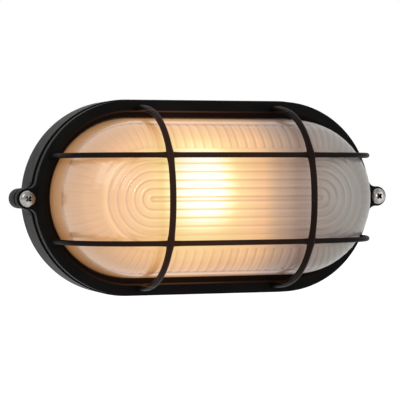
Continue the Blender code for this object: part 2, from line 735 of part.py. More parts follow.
holder = place(turned("lampholder_body", [
    (0.0, 0.0), (holder_radius, 0.0),
    (holder_radius, -(HOLDER_LENGTH - HOLDER_LIP_LENGTH)),
    (holder_radius - HOLDER_LIP, -(HOLDER_LENGTH - HOLDER_LIP_LENGTH) - HOLDER_LIP / 2),
    (holder_radius - HOLDER_LIP, -HOLDER_LENGTH),
    (holder_bore, -HOLDER_LENGTH), (holder_bore, -HOLDER_BACK), (0.0, -HOLDER_BACK)],
    (holder_back_x, -lamp_depth, 0.0), (1, 0, 0), 20), PORCELAIN)
place(turned("lampholder_shell", [
    (shell_outer, SHELL_LENGTH), (shell_outer, 0.0), (shell_inner, 0.0),
    (shell_inner, SHELL_LENGTH)],
    (holder_floor_x - FIT - SHELL_LENGTH, -lamp_depth, 0.0), (1, 0, 0), 20, closed=True), BRASS)
place(turned("centre_contact", [
    (0.0, 0.0), (CONTACT_RADIUS, 0.0), (CONTACT_RADIUS, -CONTACT_LENGTH * 0.5),
    (CONTACT_RADIUS * 0.6, -CONTACT_LENGTH), (0.0, -CONTACT_LENGTH)],
    (holder_floor_x - FIT, -lamp_depth, 0.0), (1, 0, 0), SMALL_STEPS), BRASS)

for sign, label in ((1, "upper"), (-1, "lower")):
    z = sign * HOLDER_SCREW_Z
    for owner, start, end in ((bracket, bracket_x - FIT, bracket_x + SHEET + FIT),
                              (holder, holder_back_x - HOLDER_SCREW_GRIP, holder_back_x + FIT)):
        hole = cylinder(owner.name + "_hole_" + label, small_hole, -(end - start) / 2,
                        (end - start) / 2, (start + end) / 2, z, SMALL_STEPS)
        hole.rotation_euler = (0, 0, pi / 2)
        hole.location = ((start + end) / 2, -lamp_depth, z)
        boolean(owner, as_cutter(hole))
    pan_screw("holder_screw_" + label, SMALL_HEAD, SMALL_HEAD_HEIGHT, SMALL_SHANK,
              SHEET + FIT + HOLDER_SCREW_GRIP,
              (bracket_x + SHEET + FIT, -lamp_depth, z), (1, 0, 0), ZINC, SMALL_STEPS)

# Lamp: pear-shaped opal envelope on a screw cap, solid because nothing looks into it


def lamp_profile():
    """Radius and distance from the tip, down the lamp from its contact to its tip."""
    cap = [(0.0, LAMP_LENGTH), (CAP_RADIUS * 0.36, LAMP_LENGTH),
           (CAP_RADIUS * 0.42, LAMP_LENGTH - CAP_LENGTH * 0.08),
           (CAP_RADIUS * 0.94, LAMP_LENGTH - CAP_LENGTH * 0.22),
           (CAP_RADIUS, LAMP_LENGTH - CAP_LENGTH * 0.30), (CAP_RADIUS, LAMP_LENGTH - CAP_LENGTH)]
    neck_start = LAMP_LENGTH - CAP_LENGTH
    neck = []
    for step in range(1, 6):
        share = step / 6
        ease = share * share * (3 - 2 * share)
        neck.append((NECK_RADIUS + (LAMP_RADIUS - NECK_RADIUS) * ease * 0.97,
                     neck_start + (LAMP_RADIUS * 1.25 - neck_start) * share))
    ball = [(LAMP_RADIUS * cos(a), LAMP_RADIUS - LAMP_RADIUS * sin(a))
            for a in np.linspace(-0.12, pi / 2, 7)]
    ball[-1] = (0.0, 0.0)
    return cap + [(NECK_RADIUS, neck_start)] + neck + ball


place(turned("bulb", lamp_profile(), (lamp_end - LAMP_LENGTH, -lamp_depth, 0.0), (1, 0, 0), 18),
      LAMP)

# Wiring: terminal block, leads, earth screw and a blind grommet in the cable entry

block_back = BASE_FLOOR + FIT
block_front = block_back + BLOCK_HEIGHT
terminal = place(block("terminal_block", (BLOCK_LENGTH, BLOCK_HEIGHT, BLOCK_WIDTH),
                       (BLOCK_X, -(block_back + block_front) / 2, 0.0), BLOCK_ROUND), PORCELAIN)
number = 0
for sign_x in (-1, 1):
    for sign_z in (-1, 1):
        number += 1
        x, z = BLOCK_X + sign_x * POLE_PITCH_X / 2, sign_z * POLE_PITCH_Z / 2
        well = cylinder("well_" + str(number), CLAMP_SCREW_RADIUS + FIT,
                        block_front - CLAMP_SCREW_LENGTH - CLAMP_SCREW_SINK - FIT,
                        block_front + FIT, x, z, SMALL_STEPS)
        boolean(terminal, as_cutter(well))
        clamp = turned("terminal_screw_" + str(number), [
            (0.0, CLAMP_SCREW_LENGTH), (CLAMP_SCREW_RADIUS * 0.85, CLAMP_SCREW_LENGTH),
            (CLAMP_SCREW_RADIUS, CLAMP_SCREW_LENGTH * 0.92), (CLAMP_SCREW_RADIUS, 0.0),
            (0.0, 0.0)],
            (x, -(block_front - CLAMP_SCREW_SINK - CLAMP_SCREW_LENGTH), z), (0, -1, 0),
            SMALL_STEPS)
        cut = block("clamp_slot_" + str(number), (2.4 * CLAMP_SCREW_RADIUS, CLAMP_SCREW_RADIUS,
                                                  CLAMP_SCREW_RADIUS * 0.35),
                    (x, -(block_front - CLAMP_SCREW_SINK), z))
        boolean(clamp, as_cutter(cut))
        place(clamp, BRASS)

holder_side = lamp_depth - sqrt(holder_radius ** 2 - LEAD_HOLDER_Z ** 2) - 2 * FIT
for name, sign, sleeve in (("lead_live", 1, BROWN), ("lead_neutral", -1, BLUE)):
    start_x = BLOCK_X + BLOCK_LENGTH / 2 + 2 * FIT
    floor_depth = BASE_FLOOR + FIT + LEAD_RADIUS
    run = lead_holder_x - start_x
    block_z = POLE_PITCH_Z / 2
    drop = LEAD_BLOCK_DEPTH - floor_depth
    spread = LEAD_SPREAD - block_z
    gather = LEAD_SPREAD - LEAD_HOLDER_Z
    over_foot = bracket_foot_back + SHEET + 2 * LEAD_RADIUS
    route = [
        (start_x, LEAD_BLOCK_DEPTH, block_z),
        (start_x + LEAD_STRAIGHT, LEAD_BLOCK_DEPTH, block_z),
        (start_x + 0.08 * run, LEAD_BLOCK_DEPTH - 0.5 * drop, block_z + 0.29 * spread),
        (start_x + 0.16 * run, floor_depth + 0.1 * drop, block_z + 0.71 * spread),
        (start_x + 0.32 * run, floor_depth, block_z + 0.97 * spread),
        (start_x + 0.50 * run, floor_depth, LEAD_SPREAD),
        (start_x + 0.73 * run, floor_depth, LEAD_SPREAD - 0.12 * gather),
        (start_x + 0.875 * run, floor_depth + 0.3 * drop, LEAD_HOLDER_Z + 0.44 * gather),
        (start_x + 0.945 * run, over_foot, LEAD_HOLDER_Z + 0.1 * gather),
        (start_x + 0.99 * run, holder_side - 3 * LEAD_RADIUS, LEAD_HOLDER_Z),
        (lead_holder_x, holder_side, LEAD_HOLDER_Z)]
    path = bpy.data.curves.new(name + "_route", "CURVE")
    guide = path.splines.new("NURBS")
    guide.points.add(len(route) - 1)
    for point, (x, d, z) in zip(guide.points, route):
        point.co = (x, -d, sign * z, 1)
    guide.order_u = 4
    guide.use_endpoint_u = True
    guide.resolution_u = 12
    path.dimensions = "3D"
    carrier = bpy.data.objects.new(name + "_route", path)
    parts.objects.link(carrier)
    bpy.context.view_layer.update()
    traced = bpy.data.meshes.new_from_object(
        carrier.evaluated_get(bpy.context.evaluated_depsgraph_get()))
    dense = [v.co[:] for v in traced.vertices]
    bpy.data.objects.remove(carrier, do_unlink=True)
    bpy.data.meshes.remove(traced)
    lead = curve_to_mesh(tube(name, evenly(dense, 26), LEAD_RADIUS, sides=1), name)
    place(lead, sleeve)

grommet_bore = GROMMET_RADIUS - GROMMET_SKIN * 2
place(turned("cable_grommet", [
    (0.0, BASE_FLOOR * 0.5 + GROMMET_SKIN), (grommet_bore, BASE_FLOOR * 0.5 + GROMMET_SKIN),
    (grommet_bore, BASE_FLOOR + FIT + GROMMET_FLANGE_HEIGHT),
    (GROMMET_RADIUS + GROMMET_FLANGE * 0.6, BASE_FLOOR + FIT + GROMMET_FLANGE_HEIGHT),
    (GROMMET_RADIUS + GROMMET_FLANGE, BASE_FLOOR + FIT + GROMMET_FLANGE_HEIGHT * 0.6),
    (GROMMET_RADIUS + GROMMET_FLANGE, BASE_FLOOR + FIT), (GROMMET_RADIUS, BASE_FLOOR + FIT),
    (GROMMET_RADIUS, FIT), (grommet_bore, FIT), (grommet_bore, BASE_FLOOR * 0.5),
    (0.0, BASE_FLOOR * 0.5)], (GROMMET_X, 0.0, 0.0), (0, -1, 0), 16), RUBBER)

earth_seat = BASE_FLOOR + EARTH_BOSS_HEIGHT + FIT
washer = turned("earth_washer", [
    (small_hole, WASHER_THICKNESS), (WASHER_RADIUS, WASHER_THICKNESS), (WASHER_RADIUS, 0.0),
    (small_hole, 0.0)], (EARTH_X, -earth_seat, EARTH_Z), (0, -1, 0), SMALL_STEPS, closed=True)
place(washer, BRASS)
pan_screw("earth_screw", SMALL_HEAD, SMALL_HEAD_HEIGHT, SMALL_SHANK,
          WASHER_THICKNESS + SMALL_GRIP + FIT,
          (EARTH_X, -(earth_seat + WASHER_THICKNESS + FIT), EARTH_Z), (0, -1, 0), BRASS,
          SMALL_STEPS)
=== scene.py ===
# %% [markdown]
# # An oval bulkhead light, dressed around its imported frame
# The light is a cast tub on the wall, a cast guard in front of it and a pressed glass lens
# between the two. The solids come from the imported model, already in their places, in metres.
# This script gives them their finishes, and makes finer pieces where the eye gets close.

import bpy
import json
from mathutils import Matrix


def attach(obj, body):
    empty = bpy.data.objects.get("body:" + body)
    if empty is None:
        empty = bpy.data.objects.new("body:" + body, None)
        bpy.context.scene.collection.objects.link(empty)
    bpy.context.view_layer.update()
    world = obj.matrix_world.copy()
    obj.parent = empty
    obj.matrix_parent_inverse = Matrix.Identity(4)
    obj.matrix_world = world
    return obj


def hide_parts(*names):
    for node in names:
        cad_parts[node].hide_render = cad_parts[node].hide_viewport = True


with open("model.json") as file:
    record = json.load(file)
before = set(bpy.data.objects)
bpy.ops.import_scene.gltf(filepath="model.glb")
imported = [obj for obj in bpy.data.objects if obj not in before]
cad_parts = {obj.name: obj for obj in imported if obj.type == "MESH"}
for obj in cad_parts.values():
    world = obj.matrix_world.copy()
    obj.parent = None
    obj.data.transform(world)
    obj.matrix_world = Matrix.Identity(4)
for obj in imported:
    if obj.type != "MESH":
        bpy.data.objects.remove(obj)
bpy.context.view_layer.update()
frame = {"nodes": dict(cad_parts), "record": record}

import json
from math import pi, sin, cos, tan, sqrt, atan2, exp, radians

import bmesh
import bpy
from mathutils import Matrix, Vector

nodes = frame["nodes"]

# %% [markdown]
# The outline of the whole light is a stadium: two half circles joined by straight runs. Every
# ring of the light follows it, so its sizes are named once. The wall is the plane y = 0 and the
# light looks towards -Y, so a depth d out from the wall lies at y = -d.

# %% Sizes shared by the pieces
SPINE = 0.0444          # half the distance between the centres of the round ends
FRAME_RADIUS = 0.0535   # outer radius of the guard frame
FIT = 0.0003            # gap between pieces that touch
FACE = 0.0324           # depth of the frame's front face
FLANGE_BACK = 0.0264
FLANGE_FRONT = 0.0289
LIP_BACK = 0.0292
GLASS_RADIUS = 0.0435
GLASS_HEIGHT = 0.0500
GLASS_FULLNESS = 2.85
SCREW_X = 0.1023
SCREW_SEAT = 0.0331
HEAD_HEIGHT = 0.0033
RECESS_REACH = 0.0026   # the cross recess lies inside this radius
LENS_STRETCH = 0.0010   # the glass and its opening reach this much further each way
END_STEPS = 72          # columns round each end of a casting
print("length over the frame:", round(2 * (SPINE + FRAME_RADIUS) * 1000, 1), "mm")

# %% [markdown]
# The camera stands where the photographer stood: 18.5 degrees to the left of straight ahead,
# a little under a metre away and level with the light. A long lens keeps the oval's ends
# nearly equal. The camera's own axes are worked out from its two angles and a slight roll.

# %% Camera
CAMERA_PLACE = Vector((-0.3087, -0.9411, 0.0131))
CAMERA_TURN = radians(18.504)
CAMERA_DIP = radians(0.867)
CAMERA_ROLL = radians(0.206)
CAMERA_LENS, CAMERA_SENSOR = 155.71, 36.0   # millimetres

forward = Vector((sin(CAMERA_TURN) * cos(CAMERA_DIP), cos(CAMERA_TURN) * cos(CAMERA_DIP),
                  -sin(CAMERA_DIP)))
level = Vector((cos(CAMERA_TURN), -sin(CAMERA_TURN), 0.0))
upward = level.cross(forward)
right = level * cos(CAMERA_ROLL) - upward * sin(CAMERA_ROLL)
above = level * sin(CAMERA_ROLL) + upward * cos(CAMERA_ROLL)

camera_data = bpy.data.cameras.new("camera")
camera_data.lens = CAMERA_LENS
camera_data.sensor_width = CAMERA_SENSOR
camera = bpy.data.objects.new("camera", camera_data)
camera.matrix_world = Matrix.Translation(CAMERA_PLACE) @ Matrix(
    (right, above, -forward)).transposed().to_4x4()
bpy.context.scene.collection.objects.link(camera)
bpy.context.scene.camera = camera
print("camera looks along", [round(c, 3) for c in forward])

# %% [markdown]
# A few helpers for materials. Each finish is a Principled shader, and what varies over the
# surface comes from small trees of nodes that read Object coordinates, so the pattern sits
# still on the piece. What is the same all over is set on the shader's own socket.

# %% Helpers for materials
def finish(name, colour, roughness, metallic=0.0, specular=0.5):
    """A material with a Principled shader, and its node tree to build on."""
    made = bpy.data.materials.new(name)
    made.use_nodes = True
    made.diffuse_color = (*colour, 1.0)
    shader = made.node_tree.nodes["Principled BSDF"]
    shader.inputs["Base Color"].default_value = (*colour, 1.0)
    shader.inputs["Roughness"].default_value = roughness
    shader.inputs["Metallic"].default_value = metallic
    shader.inputs["Specular IOR Level"].default_value = specular
    return made, made.node_tree, shader


def add(tree, kind, **values):
    """A new node; a value is set on the input of that name, or else on the node itself."""
    node = tree.nodes.new("ShaderNode" + kind)
    for key, value in values.items():
        label = key.replace("_", " ")
        match = [s for s in node.inputs if s.name.lower() == label and s.enabled]
        if match:
            match[0].default_value = value
        else:
            setattr(node, key, value)
    return node


def where(tree):
    """The Object coordinates of a material, made once."""
    found = tree.nodes.get("place")
    if found is None:
        found = add(tree, "TexCoord")
        found.name = "place"
    return found.outputs["Object"]


def where_xyz(tree):
    """The same coordinates as three numbers."""
    split = add(tree, "SeparateXYZ")
    tree.links.new(where(tree), split.inputs[0])
    return (split.outputs[axis] for axis in "XYZ")


def math(tree, operation, first, second=None, clamp=False):
    """One sum; each side is a socket or a number."""
    node = add(tree, "Math", operation=operation, use_clamp=clamp)
    for socket, value in zip(node.inputs, (first, second)):
        if value is None:
            continue
        if isinstance(value, (int, float)):
            socket.default_value = value
        else:
            tree.links.new(value, socket)
    return node.outputs[0]


def far_from_middle(tree, across, along):
    """The length of two sides of a right angle: how far a point lies from a middle."""
    return math(tree, "SQRT", math(tree, "ADD", math(tree, "MULTIPLY", across, across),
                                   math(tree, "MULTIPLY", along, along)))


def past_spine(tree, x):
    """How far x lies beyond the end of the spine, 0 along the runs."""
    return math(tree, "MAXIMUM", math(tree, "SUBTRACT", math(tree, "ABSOLUTE", x), SPINE), 0.0)


def noise(tree, scale, detail, stretch=(1.0, 1.0, 1.0)):
    """A noise pattern of so many cells a metre, which may be drawn out along an axis."""
    mapping = add(tree, "Mapping", scale=stretch)
    tree.links.new(where(tree), mapping.inputs["Vector"])
    pattern = add(tree, "TexNoise", scale=scale, detail=detail)
    tree.links.new(mapping.outputs[0], pattern.inputs["Vector"])
    return pattern.outputs["Fac"]


def ramp(tree, source, stops):
    """A colour ramp from (position, colour) pairs; a single number stands for a grey."""
    node = add(tree, "ValToRGB")
    elements = node.color_ramp.elements
    while len(elements) < len(stops):
        elements.new(0.5)
    for element, (position, colour) in zip(elements, stops):
        element.position = position
        element.color = (*(colour if isinstance(colour, tuple) else (colour,) * 3), 1.0)
    tree.links.new(source, node.inputs["Fac"])
    return node.outputs["Color"]


def between(tree, source, start, end, low, high):
    """Runs from low at start to high at end, and stays level outside."""
    node = add(tree, "MapRange", from_min=start, from_max=end, to_min=low, to_max=high)
    tree.links.new(source, node.inputs["Value"])
    return node.outputs["Result"]


def spread(tree, source, low, high):
    """Maps a 0 to 1 pattern to the values between low and high."""
    return between(tree, source, 0.0, 1.0, low, high)


def bump(tree, shader, height, strength, distance):
    """Gives a shader the fine relief of a pattern."""
    node = add(tree, "Bump", strength=strength, distance=distance)
    tree.links.new(height, node.inputs["Height"])
    tree.links.new(node.outputs["Normal"], shader.inputs["Normal"])


print("helpers ready")

# %% [markdown]
# ## Black powder coat
# The castings are painted with a satin black powder. Close up such a coat has a shallow orange
# peel about a millimetre across, and a finer grit on top of it. Two noise patterns of those
# sizes go into the bump, and a wider one varies the gloss and the depth of the black a little.
# The guard stands right over the lit lamp, so a brown red spill of its light is painted into the
# emission of the guard's bars and chamfer, fading along the light. The base gets the same coat
# without it.

# %% Material: black powder coat
COAT_BLACK = (0.0042, 0.0038, 0.0037)
COAT_WORN = (0.0085, 0.0078, 0.0074)


def powder_coat(name):
    """Satin black, with orange peel and grit."""
    made, tree, shader = finish(name, COAT_BLACK, 0.42, specular=0.026)
    wide = noise(tree, 55, 3)
    tree.links.new(ramp(tree, wide, [(0.30, COAT_BLACK), (0.75, COAT_WORN)]),
                   shader.inputs["Base Color"])
    tree.links.new(spread(tree, noise(tree, 240, 2), 0.34, 0.50), shader.inputs["Roughness"])
    grit = math(tree, "MULTIPLY", noise(tree, 3600, 2), 0.25)
    bump(tree, shader, math(tree, "ADD", noise(tree, 950, 2), grit), 0.22, 0.00012)
    return made, tree, shader


black_coat = powder_coat("black_powder_coat")[0]

# %% Material: the same coat with the lamp's light painted on
SPILL_X = -0.018        # where along the light the spill is strongest
SPILL_REACH = 0.052
guard_coat_painted_spill, tree, shader = powder_coat("black_powder_coat_painted_spill")
x, y, z = where_xyz(tree)
away = math(tree, "DIVIDE", math(tree, "SUBTRACT", x, SPILL_X), SPILL_REACH)
falloff = math(tree, "EXPONENT", math(tree, "MULTIPLY", math(tree, "MULTIPLY", away, away), -1.0))
# how far a point lies from the outline's spine: the bars over the glass lie inside 0.044 and get
# the painted spill, the chamfer less as painted shade of the glass, its edge at 0.0474 a thin
# painted line of light, and the flat none
radius = far_from_middle(tree, past_spine(tree, x), z)
over_glass = ramp(tree, math(tree, "MULTIPLY", radius, 10.0),
                  [(0.20, 0.62), (0.40, 0.50), (0.440, 0.45), (0.446, 0.22), (0.468, 0.12),
                   (0.4725, 1.0), (0.4760, 1.0), (0.4785, 0.0)])
# the spill is painted light: an emission that fades away from SPILL_X along the light
spill = math(tree, "MULTIPLY", falloff, over_glass)
tree.links.new(ramp(tree, spill, [(0.0, (0, 0, 0)), (0.3, (0.012, 0.0038, 0.0015)),
                                  (0.6, (0.028, 0.0090, 0.0040)), (1.0, (0.085, 0.036, 0.020))]),
               shader.inputs["Emission Color"])
shader.inputs["Emission Strength"].default_value = 1.0
print("made", black_coat.name, "and", guard_coat_painted_spill.name)

# %% [markdown]
# ## Metals and the plainer finishes
# Bright screws are stainless, the bracket and its screws are zinc plated, and the contacts are
# brass. Stainless shows a fine even grain, plated sheet shows a fine grain along its length, and
# all of them vary in gloss. Rubber, porcelain and the leads' sleeves get a fine surface of their
# own.

# %% Materials: metals
def metal(name, colour, darker, roughness, grain, stretch=(1.0, 1.0, 1.0), depth=0.00003):
    """A metal with a cloud of darker colour, and a grain that may be drawn out along an axis."""
    made, tree, shader = finish(name, colour, roughness, metallic=1.0)
    cloud = noise(tree, 260, 3)
    lines = noise(tree, grain, 2, stretch=stretch)
    tree.links.new(ramp(tree, cloud, [(0.25, darker), (0.70, colour)]),
                   shader.inputs["Base Color"])
    tree.links.new(spread(tree, lines, roughness * 0.75, roughness * 1.3),
                   shader.inputs["Roughness"])
    bump(tree, shader, lines, 0.25, depth)
    return made


stainless = metal("stainless_steel", (0.52, 0.50, 0.47), (0.10, 0.095, 0.09), 0.20, 1400)
# painted shade: what lies more than half a millimetre down in the cross recess is painted dark
tree = stainless.node_tree
shader = tree.nodes["Principled BSDF"]
x, y, z = where_xyz(tree)
radius = far_from_middle(tree, math(tree, "SUBTRACT", math(tree, "ABSOLUTE", x), SCREW_X), z)
head_top = -SCREW_SEAT - HEAD_HEIGHT
sunk = between(tree, y, head_top + 0.0003, head_top + 0.0007, 0.0, 1.0)
recess_shade_mask = math(tree, "MULTIPLY", sunk, math(tree, "LESS_THAN", radius, RECESS_REACH))
bright = shader.inputs["Base Color"].links[0].from_socket
recess_shade_mix = add(tree, "Mix", data_type="RGBA")
tree.links.new(recess_shade_mask, recess_shade_mix.inputs[0])
tree.links.new(bright, recess_shade_mix.inputs[6])
# the colour of the painted shade in the recess
recess_shade_mix.inputs[7].default_value = (0.02, 0.018, 0.016, 1.0)
tree.links.new(recess_shade_mix.outputs[2], shader.inputs["Base Color"])
zinc = metal("zinc_plate", (0.58, 0.60, 0.63), (0.44, 0.45, 0.44), 0.36, 900, (1, 0.12, 1))
brass = metal("brass", (0.72, 0.50, 0.20), (0.50, 0.33, 0.12), 0.30, 1100)

# %% Materials: rubber, porcelain, sleeves
def plain(name, colour, other, low, high, scale, depth, specular=0.5):
    """Two close colours, a roughness between low and high, and a fine grain of this scale."""
    made, tree, shader = finish(name, colour, (low + high) / 2, specular=specular)
    tree.links.new(ramp(tree, noise(tree, scale / 6, 3), [(0.3, colour), (0.75, other)]),
                   shader.inputs["Base Color"])
    fine = noise(tree, scale, 3)
    tree.links.new(spread(tree, fine, low, high), shader.inputs["Roughness"])
    bump(tree, shader, fine, 0.25, depth)
    return made


rubber = plain("black_rubber", (0.010, 0.010, 0.010), (0.020, 0.019, 0.018), 0.62, 0.85, 1500,
               0.00008, 0.25)
porcelain = plain("glazed_porcelain", (0.80, 0.78, 0.73), (0.74, 0.71, 0.65), 0.12, 0.24, 420,
                  0.00004)
brown_sleeve = plain("brown_sleeve", (0.16, 0.066, 0.028), (0.12, 0.048, 0.020), 0.42, 0.58,
                     1800, 0.00004)
blue_sleeve = plain("blue_sleeve", (0.028, 0.085, 0.34), (0.022, 0.066, 0.27), 0.42, 0.58,
                    1800, 0.00004)
print("made", [m.name for m in (stainless, zinc, brass, rubber, porcelain, brown_sleeve,
                                blue_sleeve)])

# %% [markdown]
# ## The lamp inside
# The lamp is lit, and its opal envelope glows warm all over, brightest round the middle of its
# ball. Its screw cap is nickelled, so one ramp along the lamp's length splits the two finishes.

# %% Material: opal lamp
opal_lamp, tree, shader = finish("opal_lamp", (0.92, 0.88, 0.80), 0.25)
x, y, z = where_xyz(tree)
along = between(tree, x, -0.03, 0.07, 0.0, 1.0)
tree.links.new(ramp(tree, along, [(0.0, (0.95, 0.90, 0.80)), (0.70, (0.92, 0.88, 0.80)),
                                  (0.72, (0.55, 0.54, 0.52))]), shader.inputs["Base Color"])
tree.links.new(ramp(tree, along, [(0.70, 0.0), (0.72, 1.0)]), shader.inputs["Metallic"])
tree.links.new(ramp(tree, along, [(0.0, (0.95, 0.70, 0.38)), (0.28, (1.0, 0.86, 0.58)),
                                  (0.66, (0.80, 0.45, 0.18)), (0.72, (0, 0, 0))]),
               shader.inputs["Emission Color"])
shader.inputs["Emission Strength"].default_value = 1.0
print("made", opal_lamp.name)

# %% [markdown]
# ## Frosted glass with the lamp's glow painted on
# The lens is pressed glass, acid-frosted inside and fire-polished outside: milky, with a soft
# gloss. The lamp lies along the light behind it, and its glow is painted into the glass's
# emission by place: a warm patch that is white in its middle, spreads to the lens's left end,
# and ends at the right where the lampholder stands in its way. Its heat is built as one number
# that falls off along X and Z, and a colour ramp turns the number into painted light. The ribs'
# stripes in that light are painted too, from an attribute of the mesh's own, painted_ripple:
# below 0 where a groove is painted dark, above 0 where it is painted shining.

# %% Material: frosted glass
GLOW_X = -0.0165        # middle of the white patch on the front of the lens
GLOW_Z = 0.0060
GLOW_LEFT = 0.0200      # how far it reaches to the left, to the right, and up and down
GLOW_RIGHT = 0.0143
GLOW_UP = 0.0200
PATCH_HEAT = 0.46       # what the patch adds to the warmth
END_SHARE = 0.84        # the round ends darken later than the runs

frosted_glass, tree, shader = finish("frosted_glass", (0.30, 0.27, 0.23), 0.30)
x, y, z = where_xyz(tree)
length = between(tree, x, -0.1, 0.1, 0.0, 1.0)


def along_light(stops):
    """A grey ramp from (x in millimetres, value) pairs."""
    return ramp(tree, length, [(0.5 + at / 200, value) for at, value in stops])


# painted warmth of the glow along the light: even on the left, gone behind the lampholder
warmth = along_light([(-92, 0.38), (-82, 0.41), (-71, 0.45), (-56, 0.50), (-47, 0.54),
                      (-30, 0.61), (-20, 0.62), (-3, 0.55), (6, 0.53), (15, 0.46), (24, 0.28),
                      (33, 0.17), (45, 0.07), (60, 0.0)])

# the painted white patch: a soft oval, steeper on the lampholder's side
offset = math(tree, "SUBTRACT", x, GLOW_X)
left_part = math(tree, "DIVIDE", math(tree, "MINIMUM", offset, 0.0), GLOW_LEFT)
right_part = math(tree, "DIVIDE", math(tree, "MAXIMUM", offset, 0.0), GLOW_RIGHT)
sideways = math(tree, "ADD", left_part, right_part)
upright = math(tree, "DIVIDE", math(tree, "SUBTRACT", z, GLOW_Z), GLOW_UP)
distance = math(tree, "ADD", math(tree, "POWER", math(tree, "ABSOLUTE", sideways), 2.0),
                math(tree, "POWER", math(tree, "ABSOLUTE", upright), 3.0))
patch = math(tree, "EXPONENT", math(tree, "MULTIPLY", distance, -1.0))
heat = math(tree, "ADD", warmth, math(tree, "MULTIPLY", patch, PATCH_HEAT))

# the ribs and flutes add their painted stripes to it, and a slow cloud keeps it from looking
# drawn
painted_ripple = add(tree, "Attribute", attribute_name="painted_ripple").outputs["Fac"]
stripes = math(tree, "MULTIPLY", painted_ripple, spread(tree, patch, 0.150, 0.360))
cloud = spread(tree, noise(tree, 90, 2), -0.03, 0.03)
threads = spread(tree, noise(tree, 620, 1, stretch=(0.04, 0.04, 1.0)), -0.035, 0.035)
uneven = math(tree, "ADD", stripes, math(tree, "ADD", cloud, threads))
heat = math(tree, "MULTIPLY", heat, math(tree, "ADD", uneven, 1.0))

# painted shade: the rim is darker for the frame's shade, the sides for turning away from the
# lamp, the lower side a little darker, and the flange under the frame gets no painted light
rim = between(tree, y, -FACE - 0.010, -FACE, 1.0, 0.90)
radius = far_from_middle(tree, math(tree, "MULTIPLY", past_spine(tree, x), END_SHARE), z)
brow = between(tree, radius, 0.030, 0.044, 1.0, 0.68)
lower = between(tree, z, -0.042, -0.018, 0.90, 1.0)
shade = math(tree, "MULTIPLY", rim, math(tree, "MULTIPLY", brow, lower))
heat = math(tree, "MULTIPLY", heat, shade)
heat = math(tree, "MULTIPLY", heat, math(tree, "LESS_THAN", y, -LIP_BACK), clamp=True)
tree.links.new(ramp(tree, heat, [
    (0.00, (0.00, 0.00, 0.00)), (0.16, (0.10, 0.02, 0.0)), (0.30, (0.27, 0.10, 0.01)),
    (0.40, (0.43, 0.18, 0.03)), (0.50, (0.62, 0.27, 0.05)), (0.58, (0.67, 0.37, 0.08)),
    (0.68, (0.72, 0.48, 0.11)), (0.80, (0.74, 0.68, 0.28)), (1.00, (0.75, 0.76, 0.72))]),
    shader.inputs["Emission Color"])
shader.inputs["Emission Strength"].default_value = 1.0

# painted light and shade in the glass's colour: warm behind the glow, grey over the lampholder
# and darker towards the right end, with the same painted shade and stripes as the glow
painted_tint = ramp(tree, length, [
    (0.03, (0.37, 0.32, 0.270)), (0.12, (0.34, 0.305, 0.265)), (0.60, (0.32, 0.285, 0.245)),
    (0.70, (0.35, 0.310, 0.270)), (0.84, (0.32, 0.288, 0.256)), (0.93, (0.23, 0.205, 0.183))])
shaded = add(tree, "VectorMath", operation="SCALE")
tree.links.new(painted_tint, shaded.inputs[0])
striped = math(tree, "ADD", math(tree, "MULTIPLY", painted_ripple, 0.15), 1.0)
tree.links.new(math(tree, "MULTIPLY", shade, striped), shaded.inputs["Scale"])
tree.links.new(shaded.outputs[0], shader.inputs["Base Color"])
grain = noise(tree, 700, 2)
tree.links.new(spread(tree, grain, 0.24, 0.38), shader.inputs["Roughness"])
bump(tree, shader, grain, 0.12, 0.00006)
# the fire polish outside, clearest on the left
tree.links.new(along_light([(-60, 0.55), (10, 0.35), (45, 0.05)]), shader.inputs["Coat Weight"])
shader.inputs["Coat Roughness"].default_value = 0.13
print("made", frosted_glass.name)

# %% [markdown]
# ## Light and floor
# The studio is a white room: a pale floor below the light, soft lamps, and a world that the
# camera, and anything glossy, sees as white. On the lit surfaces the world is dimmer, so the
# lamps give the shape. The big soft lamp stands on the left, because the photograph's left side
# is the brighter one.

# %% World
def seen_as_white(tree):
    """1 for the rays that should find the studio white: the camera's, and through gloss."""
    rays = add(tree, "LightPath")
    return math(tree, "MAXIMUM", rays.outputs["Is Camera Ray"],
                math(tree, "MAXIMUM", rays.outputs["Is Glossy Ray"],
                     rays.outputs["Is Transmission Ray"]))


WORLD_FILL = 0.50       # strength of the world on the lit surfaces
world = bpy.data.worlds.new("studio")
world.use_nodes = True
bpy.context.scene.world = world
tree = world.node_tree
background = tree.nodes["Background"]
background.inputs["Color"].default_value = (1.0, 1.0, 1.0, 1.0)
tree.links.new(spread(tree, seen_as_white(tree), WORLD_FILL, 1.0),
               background.inputs["Strength"])
bpy.context.scene.view_settings.view_transform = "Standard"
print("world fills with", WORLD_FILL)

# %% Floor
FLOOR_DEPTH = -0.20
FLOOR_GLOW = 0.68       # lifts the floor to the background's white
bm = bmesh.new()
bmesh.ops.create_grid(bm, x_segments=1, y_segments=1, size=8.0)
bmesh.ops.translate(bm, verts=bm.verts, vec=(0, 0, FLOOR_DEPTH))
mesh = bpy.data.meshes.new("floor")
bm.to_mesh(mesh)
bm.free()
floor = bpy.data.objects.new("floor", mesh)
bpy.context.scene.collection.objects.link(floor)
pale, tree, shader = finish("pale_floor", (0.80, 0.80, 0.80), 0.9, specular=0.1)
shader.inputs["Emission Color"].default_value = (1.0, 1.0, 1.0, 1.0)
tree.links.new(spread(tree, seen_as_white(tree), 0.0, FLOOR_GLOW),
               shader.inputs["Emission Strength"])
mesh.materials.append(pale)
print("floor at", FLOOR_DEPTH)

# %% Lamps of the studio
def soft_lamp(name, place, aim, size, power):
    """A square lamp of this size, turned towards a point."""
    data = bpy.data.lights.new(name, "AREA")
    data.shape = "RECTANGLE"
    data.size = data.size_y = size
    data.energy = power
    made = bpy.data.objects.new(name, data)
    made.location = place
    made.rotation_euler = (Vector(aim) - Vector(place)).to_track_quat("-Z", "Y").to_euler()
    bpy.context.scene.collection.objects.link(made)


